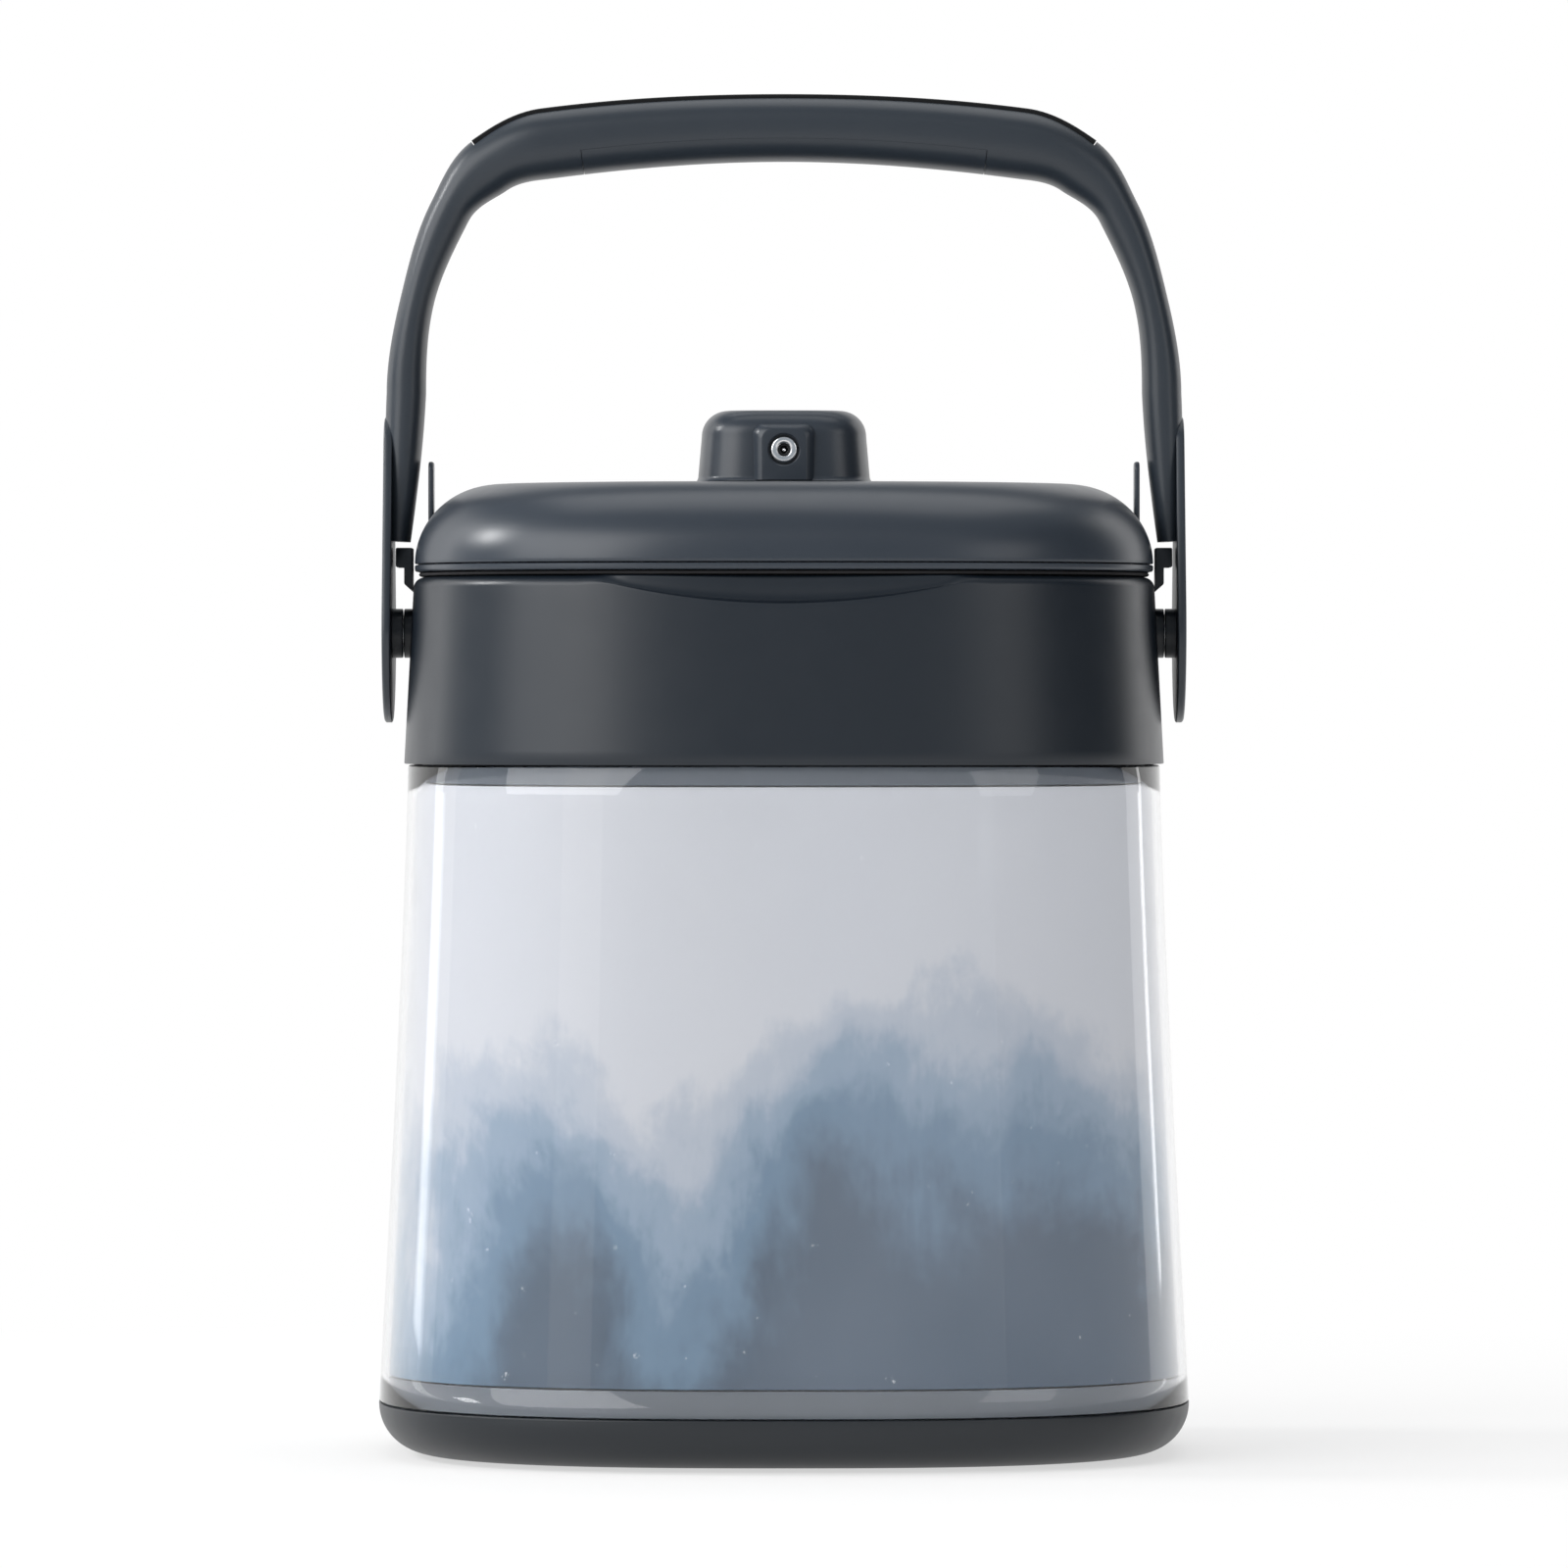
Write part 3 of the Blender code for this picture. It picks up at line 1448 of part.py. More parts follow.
def main():
    clear_scene()
    make_base()
    make_feet()
    make_reservoir_walls()
    make_liner()
    make_base_insulation()
    make_collar()
    make_cover()
    make_tray()
    make_gasket()
    make_lid_insulation()
    make_lid_screws()
    make_hood()
    make_jack()
    make_board()
    make_hose_port()
    make_motor()
    make_column()
    make_housing()
    make_impeller()
    make_strainer()
    make_pipes()
    make_motor_lead()
    make_handle()
    make_grips()
    make_pivots()
    carry("handle_axis", (0, 0, pivot_z), """
        handle_frame grip_strip grip_pad
        pivot_bush_left pivot_bush_right pivot_cap_left pivot_cap_right
    """)
    carry("lid_axis", (0, 0, rim_bottom_z), """
        lid_cover lid_tray lid_gasket lid_insulation
        lid_screw_1 lid_screw_2 lid_screw_3 lid_screw_4
        pump_hood jack_barrel jack_core jack_pin jack_nut control_board motor_lead hose_port
        pump_motor pump_column pump_housing intake_strainer supply_pipe return_pipe
    """)
    carry("impeller_axis", (0, pump_y, 0), "impeller drive_shaft")


main()
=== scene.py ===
import json
import math

import bmesh
import bpy
import numpy as np
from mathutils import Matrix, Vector

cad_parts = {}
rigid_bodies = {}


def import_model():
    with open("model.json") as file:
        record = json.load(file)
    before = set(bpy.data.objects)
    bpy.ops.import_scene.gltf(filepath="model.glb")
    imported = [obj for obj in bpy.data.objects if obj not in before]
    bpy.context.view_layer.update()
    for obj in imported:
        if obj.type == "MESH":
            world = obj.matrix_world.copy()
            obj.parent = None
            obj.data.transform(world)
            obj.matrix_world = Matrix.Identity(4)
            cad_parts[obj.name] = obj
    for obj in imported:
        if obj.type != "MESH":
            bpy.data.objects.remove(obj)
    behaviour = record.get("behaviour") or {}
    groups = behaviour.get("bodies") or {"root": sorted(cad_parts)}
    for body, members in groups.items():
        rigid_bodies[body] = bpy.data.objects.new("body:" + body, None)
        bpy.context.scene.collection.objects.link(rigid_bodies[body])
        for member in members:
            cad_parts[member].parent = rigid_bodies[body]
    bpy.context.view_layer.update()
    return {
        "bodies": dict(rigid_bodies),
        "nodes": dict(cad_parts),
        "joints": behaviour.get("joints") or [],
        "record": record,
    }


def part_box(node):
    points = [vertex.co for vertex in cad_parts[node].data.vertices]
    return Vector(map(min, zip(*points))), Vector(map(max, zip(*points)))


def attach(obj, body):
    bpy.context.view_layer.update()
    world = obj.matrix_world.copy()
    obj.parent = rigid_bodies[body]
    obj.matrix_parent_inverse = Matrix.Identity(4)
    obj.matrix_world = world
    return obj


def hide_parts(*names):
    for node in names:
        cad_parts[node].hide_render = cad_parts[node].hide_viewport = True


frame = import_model()
mm = 0.001
gap = 0.3 * mm  # between a piece and its neighbour

# The bucket's outline seen from above is a rounded square, narrower from front to back
body = {"depthShare": 0.87, "power": 2.7, "around": 320}


def low(node):
    return np.array(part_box(node)[0])


def high(node):
    return np.array(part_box(node)[1])


def spacedOutline(count, power, depthShare):
    # Unit superellipse |x|^p + |y|^p = 1, its points spaced evenly along the curve
    t = np.linspace(0, 2 * np.pi, 20001)
    c, s = np.cos(t), np.sin(t)
    x = np.sign(c) * np.abs(c) ** (2 / power)
    y = np.sign(s) * np.abs(s) ** (2 / power)
    step = np.hypot(np.diff(x), np.diff(y) * depthShare)
    length = np.concatenate([[0], np.cumsum(step)])
    want = np.linspace(0, length[-1], count + 1)[:-1]
    return np.interp(want, length, x), np.interp(want, length, y)


outlineX, outlineY = spacedOutline(body["around"], body["power"], body["depthShare"])


def bodyRings(halfWidths, insets, zs):
    # One ring for each height: half width less inset across, its share less inset deep
    halfWidths, insets, zs = np.broadcast_arrays(halfWidths, insets, zs)
    x = (halfWidths - insets)[:, None] * outlineX
    y = (halfWidths * body["depthShare"] - insets)[:, None] * outlineY
    return np.stack([x, y, np.broadcast_to(zs[:, None], x.shape)], axis=2)


def arc(radius, first, last, count):
    # Points across and up on an arc about its own centre, in degrees
    a = np.radians(np.linspace(first, last, count))
    return radius * np.cos(a), radius * np.sin(a)


def shade(mesh, sharp):
    mesh.shade_smooth()
    mesh.set_sharp_from_angle(angle=math.radians(sharp))


def gridMesh(grid, aroundClosed=True, alongClosed=False, caps=False):
    # A grid of points, rows by columns, becomes quads. Rows close up around, and may join last to first
    rows, cols = grid.shape[:2]
    index = np.arange(rows * cols).reshape(rows, cols)
    upper = np.roll(index, -1, axis=0) if alongClosed else index[1:]
    lower = index if alongClosed else index[:-1]
    if aroundClosed:
        quads = np.stack([lower, np.roll(lower, -1, 1), np.roll(upper, -1, 1), upper], axis=2)
    else:
        quads = np.stack([lower[:, :-1], lower[:, 1:], upper[:, 1:], upper[:, :-1]], axis=2)
    faces = quads.reshape(-1, 4).tolist()
    if caps:
        faces += [index[0][::-1].tolist(), index[-1].tolist()]
    return grid.reshape(-1, 3), faces


def addObject(name, data):
    made = bpy.data.objects.new(name, data)
    bpy.context.scene.collection.objects.link(made)
    return made


def makePiece(name, surface, sharp=35):
    # Puts a grid's points and faces into a mesh, merges poles and seams, and turns the faces outwards
    points, faces = surface
    mesh = bpy.data.meshes.new(name)
    mesh.from_pydata(points, [], faces)
    piece = addObject(name, mesh)
    tidyMesh(mesh)
    shade(mesh, sharp)
    return piece


def tidyMesh(mesh):
    bm = bmesh.new()
    bm.from_mesh(mesh)
    bmesh.ops.remove_doubles(bm, verts=bm.verts, dist=0.000002)
    bmesh.ops.recalc_face_normals(bm, faces=bm.faces)
    bm.to_mesh(mesh)
    bm.free()


def combined(piece, operation, others, sharp=35):
    # Cuts the other shapes out of the piece, or joins them on, and keeps the result as plain mesh
    for other in others:
        step = piece.modifiers.new("step", "BOOLEAN")
        step.operation = operation
        step.solver = "EXACT"
        step.object = other
    graph = bpy.context.evaluated_depsgraph_get()
    result = bpy.data.meshes.new_from_object(piece.evaluated_get(graph))
    piece.modifiers.clear()
    piece.data = result
    result.name = piece.name
    for other in others:
        bpy.data.objects.remove(other)
    shade(result, sharp)
    return piece


def turned(profile, place, axis, count=96):
    # Carries (radius, height) points round an axis through place
    radius, height = np.array(profile).T
    a = np.linspace(0, 2 * np.pi, count, endpoint=False)
    c, s = radius[:, None] * np.cos(a), radius[:, None] * np.sin(a)
    h = np.broadcast_to(height[:, None], c.shape)
    order = {"Z": (c, s, h), "-Y": (c, -h, s), "Y": (c, h, s), "X": (h, c, s), "-X": (-h, c, s)}[axis]
    return np.stack(order, axis=2) + np.array(place)


def rod(radius, lowEnd, highEnd, place, axis, edge=0.0, count=96):
    # A round bar between two heights, with its rims rounded by edge
    if edge:
        across, up = arc(edge, 90, 0, 5)
        rim = [(radius - edge + a, highEnd - edge + u) for a, u in zip(across, up)]
        rimLow = [(radius - edge + a, lowEnd + edge - u) for a, u in zip(across[::-1], up[::-1])]
    else:
        rim, rimLow = [(radius, highEnd)], [(radius, lowEnd)]
    return gridMesh(turned([(0, highEnd)] + rim + rimLow + [(0, lowEnd)], place, axis, count))


def roundedBlock(lowCorner, highCorner, edge, count=6):
    # A block whose outline in x and y has round corners and whose top and bottom rims are rounded
    lowCorner, highCorner = np.array(lowCorner), np.array(highCorner)
    middle, half = (lowCorner + highCorner) / 2, (highCorner - lowCorner) / 2
    a = np.radians(np.linspace(0, 90, count))
    quarters = []
    for n, (sx, sy) in enumerate(((1, 1), (-1, 1), (-1, -1), (1, -1))):
        turn = a + n * np.pi / 2
        quarters.append(np.stack([sx * (half[0] - edge) + edge * np.cos(turn),
                                  sy * (half[1] - edge) + edge * np.sin(turn)], axis=1))
    outline = np.concatenate(quarters)
    out = np.stack([outline[:, 0] - np.sign(outline[:, 0]) * (half[0] - edge),
                    outline[:, 1] - np.sign(outline[:, 1]) * (half[1] - edge)], axis=1)
    rows = []
    for side in (-1, 1):
        for turn in (a if side < 0 else a[::-1]):
            z = side * (half[2] - edge + edge * np.cos(turn))
            ring = outline - out * (1 - np.sin(turn))
            rows.append(np.column_stack([ring, np.full(len(ring), z)]))
    return gridMesh(np.array(rows) + middle, caps=True)


def smoothStep(x):
    x = np.clip(x, 0, 1)
    return x * x * (3 - 2 * x)


def newMaterial(name):
    made = bpy.data.materials.new(name)
    made.use_nodes = True
    tree = made.node_tree
    shader = tree.nodes["Principled BSDF"]
    return made, tree, shader


def objectCoords(tree, scale=(1, 1, 1)):
    coords = tree.nodes.new("ShaderNodeTexCoord")
    mapping = tree.nodes.new("ShaderNodeMapping")
    mapping.inputs["Scale"].default_value = scale
    tree.links.new(coords.outputs["Object"], mapping.inputs["Vector"])
    return mapping.outputs["Vector"]


def noise(tree, vector, scale, detail=3.0, roughness=0.5, distortion=0.0):
    node = tree.nodes.new("ShaderNodeTexNoise")
    tree.links.new(vector, node.inputs["Vector"])
    node.inputs["Scale"].default_value = scale
    node.inputs["Detail"].default_value = detail
    node.inputs["Roughness"].default_value = roughness
    node.inputs["Distortion"].default_value = distortion
    return node.outputs["Fac"]


def ramp(tree, value, stops, mode="LINEAR"):
    node = tree.nodes.new("ShaderNodeValToRGB")
    node.color_ramp.interpolation = mode
    elements = node.color_ramp.elements
    while len(elements) < len(stops):
        elements.new(0.5)
    for element, (place, colour) in zip(elements, stops):
        element.position = place
        element.color = (*colour, 1) if len(colour) == 3 else colour
    tree.links.new(value, node.inputs["Fac"])
    return node.outputs["Color"]


def remap(tree, value, lowOut, highOut, lowIn=0.3, highIn=0.7):
    node = tree.nodes.new("ShaderNodeMapRange")
    node.inputs["From Min"].default_value = lowIn
    node.inputs["From Max"].default_value = highIn
    node.inputs["To Min"].default_value = lowOut
    node.inputs["To Max"].default_value = highOut
    tree.links.new(value, node.inputs["Value"])
    return node.outputs["Result"]


def mixColours(tree, factor, first, second, mode="MIX"):
    node = tree.nodes.new("ShaderNodeMix")
    node.data_type = "RGBA"
    node.blend_type = mode
    for socket, value in ((0, factor), (6, first), (7, second)):
        if isinstance(value, bpy.types.NodeSocket):
            tree.links.new(value, node.inputs[socket])
        else:
            node.inputs[socket].default_value = value if socket == 0 else (*value, 1)
    return node.outputs[2]


def maths(tree, operation, *values):
    node = tree.nodes.new("ShaderNodeMath")
    node.operation = operation
    for socket, value in zip(node.inputs, values):
        if isinstance(value, bpy.types.NodeSocket):
            tree.links.new(value, socket)
        else:
            socket.default_value = value
    return node.outputs[0]


def bump(tree, shader, height, strength, distance):
    node = tree.nodes.new("ShaderNodeBump")
    node.inputs["Strength"].default_value = strength
    node.inputs["Distance"].default_value = distance
    tree.links.new(height, node.inputs["Height"])
    tree.links.new(node.outputs["Normal"], shader.inputs["Normal"])


def linear(red, green, blue):
    # Screen colour 0 to 255 to the linear values that a shader takes
    def one(v):
        v /= 255
        return v / 12.92 if v <= 0.04045 else ((v + 0.055) / 1.055) ** 2.4
    return one(red), one(green), one(blue)


def mouldedPlastic(name, colour, roughness, grain=2600, grainDepth=0.00002, spread=0.06, specular=0.5):
    # Spark-eroded plastic: fine grain, a faint drift of shade, and rub marks that change the gloss
    made, tree, shader = newMaterial(name)
    vector = objectCoords(tree)
    drift = noise(tree, vector, 9, 2)
    lighter = tuple(min(1, c * (1 + spread)) for c in colour)
    darker = tuple(c * (1 - spread) for c in colour)
    tree.links.new(mixColours(tree, remap(tree, drift, 0, 1), darker, lighter), shader.inputs["Base Color"])
    rub = noise(tree, vector, 120, 3)
    tree.links.new(remap(tree, rub, roughness * 0.96, roughness * 1.04), shader.inputs["Roughness"])
    shader.inputs["Specular IOR Level"].default_value = specular
    bump(tree, shader, noise(tree, vector, grain, 2), 0.35, grainDepth)
    return made


def glossyMetal(name, colour, roughness):
    # Plated metal: very fine turning marks and a little haze
    made, tree, shader = newMaterial(name)
    vector = objectCoords(tree, (1, 30, 1))
    shader.inputs["Base Color"].default_value = (*colour, 1)
    shader.inputs["Metallic"].default_value = 1.0
    haze = noise(tree, vector, 400, 3)
    tree.links.new(remap(tree, haze, roughness * 0.8, roughness * 1.25), shader.inputs["Roughness"])
    bump(tree, shader, haze, 0.15, 0.00001)
    return made


def clearPlastic(name):
    # Clear moulded wall: faint draw waves in its gloss
    made, tree, shader = newMaterial(name)
    shader.inputs["Base Color"].default_value = (0.985, 0.99, 1.0, 1)
    shader.inputs["Transmission Weight"].default_value = 1.0
    shader.inputs["IOR"].default_value = 1.46
    waves = noise(tree, objectCoords(tree, (1, 1, 0.4)), 26, 2)
    tree.links.new(remap(tree, waves, 0.015, 0.045), shader.inputs["Roughness"])
    return made


frost = {
    "colours": {0.02: (224, 226, 231), 0.17: (196, 204, 215), 0.32: (152, 173, 193), 0.46: (108, 139, 164),
                0.70: (62, 84, 104)},
    "fleck": (236, 239, 243), "veil": (196, 203, 218), "veilShare": 0.22, "tide": 0.74, "noiseMean": 1.28,
    "driftScale": 6, "cloudScale": 11, "streakScale": 32,
    "driftShare": 0.7, "cloudShare": 1.3, "streakShare": 0.45,
}


def frostPrint(name, zLow, zHigh):
    # Frosted film: pale above a soft tide line, blue-grey drifts below it, upright streaks and flecks
    made, tree, shader = newMaterial(name)
    vector = objectCoords(tree)
    split = tree.nodes.new("ShaderNodeSeparateXYZ")
    tree.links.new(vector, split.inputs["Vector"])
    rise = remap(tree, split.outputs["Z"], 0, 1, zLow, zHigh)
    drifts = noise(tree, objectCoords(tree, (1, 1, 0.7)), frost["driftScale"], 2)
    clouds = noise(tree, objectCoords(tree, (1, 1, 0.85)), frost["cloudScale"], 7, 0.6, 0.25)
    streaks = noise(tree, objectCoords(tree, (1.2, 1.2, 0.4)), frost["streakScale"], 6, 0.65, 0.3)
    depth = maths(tree, "MULTIPLY_ADD", rise, -1.0, frost["tide"] - frost["noiseMean"])
    for layer, share in ((drifts, "driftShare"), (clouds, "cloudShare"), (streaks, "streakShare")):
        depth = maths(tree, "MULTIPLY_ADD", layer, frost[share], depth)
    stops = [(place, linear(*tone)) for place, tone in frost["colours"].items()]
    colour = ramp(tree, depth, stops, "EASE")
    veil = noise(tree, objectCoords(tree, (1, 1, 0.6)), 8, 4)
    colour = mixColours(tree, remap(tree, veil, 0, frost["veilShare"]), colour, linear(*frost["veil"]))
    flecks = noise(tree, objectCoords(tree, (1.3, 1.3, 0.9)), 190, 4, 0.75)
    fleckMask = remap(tree, flecks, 0, 0.75, 0.68, 0.76)
    colour = mixColours(tree, fleckMask, colour, linear(*frost["fleck"]))
    tree.links.new(colour, shader.inputs["Base Color"])
    shader.inputs["Roughness"].default_value = 0.5
    shader.inputs["Specular IOR Level"].default_value = 0.3
    bump(tree, shader, noise(tree, vector, 700, 3), 0.2, 0.00004)
    return made


def softRubber(name, colour, roughness=0.75):
    # Matt rubber with a dusty bloom
    made, tree, shader = newMaterial(name)
    vector = objectCoords(tree)
    bloom = noise(tree, vector, 120, 5, 0.6)
    light = tuple(min(1, c * 1.5 + 0.004) for c in colour)
    tree.links.new(mixColours(tree, remap(tree, bloom, 0, 0.6), colour, light), shader.inputs["Base Color"])
    tree.links.new(remap(tree, bloom, roughness, roughness + 0.1), shader.inputs["Roughness"])
    shader.inputs["Specular IOR Level"].default_value = 0.3
    bump(tree, shader, noise(tree, vector, 1800, 2), 0.4, 0.00003)
    return made


def foamBlock(name):
    # Closed-cell foam: cells a millimetre or two across
    made, tree, shader = newMaterial(name)
    vector = objectCoords(tree)
    cells = tree.nodes.new("ShaderNodeTexVoronoi")
    cells.inputs["Scale"].default_value = 600
    tree.links.new(vector, cells.inputs["Vector"])
    colour = ramp(tree, cells.outputs["Distance"], [(0.1, (0.82, 0.82, 0.78)), (0.6, (0.62, 0.62, 0.58))])
    tree.links.new(colour, shader.inputs["Base Color"])
    shader.inputs["Roughness"].default_value = 0.9
    bump(tree, shader, cells.outputs["Distance"], 0.6, 0.0002)
    return made


def circuitBoard(name):
    # Green board with thin copper-coloured tracks on a square grid
    made, tree, shader = newMaterial(name)
    tracks = tree.nodes.new("ShaderNodeTexBrick")
    tracks.inputs["Scale"].default_value = 260
    tracks.inputs["Mortar Size"].default_value = 0.03
    tracks.inputs["Color1"].default_value = (0.012, 0.09, 0.035, 1)
    tracks.inputs["Color2"].default_value = (0.014, 0.11, 0.04, 1)
    tracks.inputs["Mortar"].default_value = (0.10, 0.22, 0.08, 1)
    tree.links.new(objectCoords(tree), tracks.inputs["Vector"])
    tree.links.new(tracks.outputs["Color"], shader.inputs["Base Color"])
    shader.inputs["Roughness"].default_value = 0.35
    return made


finishes = {
    "lidGrey": mouldedPlastic("lid grey", linear(44, 51, 60), 0.33, grainDepth=0.000012),
    "collarGrey": mouldedPlastic("collar grey", linear(19, 27, 36), 0.35, grainDepth=0.000014),
    "handleGrey": mouldedPlastic("handle grey", linear(38, 45, 53), 0.38),
    "stripBlack": softRubber("grip strip black", linear(9, 10, 12), 0.8),
    "baseBlack": mouldedPlastic("base black", linear(20, 26, 32), 0.42),
    "bandGrey": mouldedPlastic("band grey", linear(104, 111, 120), 0.45, specular=0.3),
    "clearWall": clearPlastic("clear wall"),
    "frost": frostPrint("frosted print", low("frosted_sleeve")[2], high("frosted_sleeve")[2]),
    "white": mouldedPlastic("white moulding", (0.80, 0.82, 0.84), 0.4, spread=0.03),
    "foam": foamBlock("closed-cell foam"),
    "silicone": softRubber("silicone", linear(150, 154, 158), 0.5),
    "footRubber": softRubber("foot rubber", linear(28, 28, 30), 0.8),
    "steel": glossyMetal("zinc steel", (0.60, 0.61, 0.62), 0.28),
    "nickel": glossyMetal("nickel plate", (0.78, 0.78, 0.79), 0.16),
    "blackPlastic": mouldedPlastic("black plastic", linear(24, 26, 29), 0.4),
    "board": circuitBoard("circuit board"),
    "motorCan": glossyMetal("motor can", (0.52, 0.53, 0.55), 0.32),
}


def dress(piece, finish, bodyName=None, replaces=()):
    piece.data.materials.clear()
    piece.data.materials.append(finishes[finish])
    if bodyName:
        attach(piece, bodyName)
        if replaces:
            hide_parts(*replaces)
    return piece


groundHalf = high("base")[0]
shellLow, shellTop = low("reservoir_shell")[2], high("reservoir_shell")[2]
shellTopHalf, flarePower = 106.8 * mm, 1.23
plugDepth = 10.5 * mm
rimLow = low("lid_tray")[2] + plugDepth  # the thin rim under the dome
rimTop = rimLow + 1.9 * mm
collarTop = rimLow - 1.5 * mm
collarLow = shellTop + gap
collarLowHalf, collarTopHalf = 107.9 * mm, 105.1 * mm
lidHalf = 104.9 * mm
lidLow, lidTop = rimTop + gap, low("pump_hood")[2] - gap


def shellHalf(z):
    # The clear wall flares towards the ground: the drop from its top, as a share, to a power
    drop = np.clip((shellTop - z) / (shellTop - shellLow), 0, 1)
    return shellTopHalf + (groundHalf - shellTopHalf) * drop ** flarePower


def collarHalf(z):
    share = (z - collarLow) / (collarTop - collarLow)
    return collarLowHalf + (collarTopHalf - collarLowHalf) * share


def fromProfile(name, half, profile, alongClosed=False, caps=True, sharp=35):
    # Profile rows of (inset, z), drawn in from a half width that may change with z
    insets, zs = np.array(profile).T
    widths = half(zs) if callable(half) else half
    grid = bodyRings(widths, insets, zs)
    return makePiece(name, gridMesh(grid, alongClosed=alongClosed, caps=caps and not alongClosed), sharp)


base = {
    "edgeRadius": 13.5 * mm, "top": 15 * mm, "wall": 2.5 * mm, "lipWall": 2.0 * mm, "lipInset": 4.2 * mm,
    "topBevel": 0.3 * mm,
}
feet = ["foot_front_left", "foot_front_right", "foot_rear_left", "foot_rear_right"]


def makeBase():
    zLow, zTop, lipTop = low("base")[2], base["top"], high("base")[2]
    r, bevel = base["edgeRadius"], base["topBevel"]
    across, up = arc(r, -90, 0, 22)
    rows = [(r - a, zLow + r + u) for a, u in zip(across, up)]
    across, up = arc(bevel, 0, 90, 4)
    rows += [(bevel - a, zTop - bevel + u) for a, u in zip(across, up)]
    shrink = groundHalf - shellHalf(lipTop)
    inner = base["lipInset"] + base["lipWall"]
    rows += [(base["lipInset"], zTop), (base["lipInset"] + shrink, lipTop), (inner + shrink, lipTop)]
    across, up = arc(r - base["wall"], 0, -90, 10)
    rows += [(max(r - a, inner), zLow + r + u) for a, u in zip(across, up)]
    piece = fromProfile("base_tray", groundHalf, rows)
    pockets = []
    for name in feet:
        x, y = ((low(name) + high(name)) / 2)[:2]
        radius = (high(name)[0] - low(name)[0]) / 2 + gap
        pockets.append(makePiece("pocket", rod(radius, -2 * mm, high(name)[2] + gap, (x, y, 0), "Z")))
    combined(piece, "DIFFERENCE", pockets)
    dress(piece, "baseBlack", "bucket", ["base"])


walls = {"clear": 2.2 * mm, "band": 1.4 * mm, "film": 0.6 * mm, "clearEdge": 0.5 * mm, "innerEdge": 0.2 * mm}


def wallTube(name, inset, wall, zLow, zHigh, finish, node, edge, rows=24):
    # A tube that follows the clear wall's outline between two heights, with its rims rounded
    zs = np.linspace(zLow + edge, zHigh - edge, rows)
    across, up = arc(edge, 0, 180, 7)
    half = wall / 2
    topRim = [(inset + half - (half / edge) * a, zHigh - edge + u) for a, u in zip(across, up)]
    lowRim = [(inset + half + (half / edge) * a, zLow + edge - u) for a, u in zip(across, up)]
    outer = [(inset, z) for z in zs[1:-1]]
    inner = [(inset + wall, z) for z in zs[1:-1][::-1]]
    piece = fromProfile(name, shellHalf, outer + topRim + inner + lowRim, alongClosed=True, sharp=50)
    dress(piece, finish, "bucket", [node])


def makeWalls():
    wallTube("clear_wall", 0, walls["clear"], shellLow, shellTop, "clearWall", "reservoir_shell",
             walls["clearEdge"])
    inset, edge = walls["clear"] + gap, walls["innerEdge"]
    for name, thick, finish, slot, node in (
        ("frost_film", "film", "frost", "frosted_print", "frosted_sleeve"),
        ("grey_band_low", "band", "bandGrey", "grey_band", "lower_band"),
        ("grey_band_high", "band", "bandGrey", "grey_band", "upper_band"),
    ):
        wallTube(name, inset, walls[thick], low(node)[2], high(node)[2], finish, node, edge)


tub = {
    "wall": 2.2 * mm, "edgeRadius": 10 * mm, "taper": 2.7 * mm, "flangeWidth": 2.7 * mm, "flangeWall": 2.0 * mm,
    "flangeEdge": 0.4 * mm, "mouthEdge": 0.6 * mm,
}


def makeTub():
    floorZ, flangeTop = low("reservoir_liner")[2], high("reservoir_liner")[2]
    flangeLow = flangeTop - tub["flangeWall"]
    flangeInset = collar["deck"] + gap
    mouthInset = flangeInset + tub["flangeWidth"]

    def inset(z, more):
        return mouthInset + tub["taper"] * (flangeLow - z) / (flangeLow - floorZ) + more

    r, wall, edge, lip = tub["edgeRadius"], tub["wall"], tub["flangeEdge"], tub["mouthEdge"]
    across, up = arc(r, -90, 0, 10)
    rows = [(inset(floorZ + r + u, r - a), floorZ + r + u) for a, u in zip(across, up)]
    rows += [(mouthInset, flangeLow), (flangeInset, flangeLow), (flangeInset, flangeTop - edge),
             (flangeInset + edge, flangeTop), (mouthInset + wall - lip, flangeTop),
             (mouthInset + wall, flangeTop - lip)]
    across, up = arc(r - wall, 0, -90, 10)
    rows += [(inset(floorZ + r + u, r - a), floorZ + r + u) for a, u in zip(across, up)]
    piece = fromProfile("ice_tub", collarHalf(flangeLow - gap), rows)
    dress(piece, "white", "bucket", ["reservoir_liner"])


collar = {
    "wall": 2.5 * mm, "edgeRadius": 3.0 * mm, "deck": 4.1 * mm,
    "ledgeDrop": 4.0 * mm, "ledgeWall": 2.5 * mm, "ledgeWidth": 2.7 * mm, "webRise": 4 * mm, "footRise": 2 * mm,
    "lipInset": 4.2 * mm, "lipLength": 5.8 * mm, "lipWall": 2.0 * mm,
    "bossRadius": 7.0 * mm, "bossProud": 2.2 * mm, "bossRoot": 6.9 * mm,
    "boreRadius": 3.2 * mm, "boreEnd": 1.3 * mm,
    "scoopHalf": 57.2 * mm, "scoopDrop": 7.8 * mm, "scoopDepth": 3.2 * mm, "scoopSoft": 0.12,
}


def scoopShare(x, y):
    # How much of the finger scoop there is at each point of the rim: all in the front's middle
    share = np.clip(1 - (x / collar["scoopHalf"]) ** 2, 0, 1)
    return np.where(y < 0, share, 0)


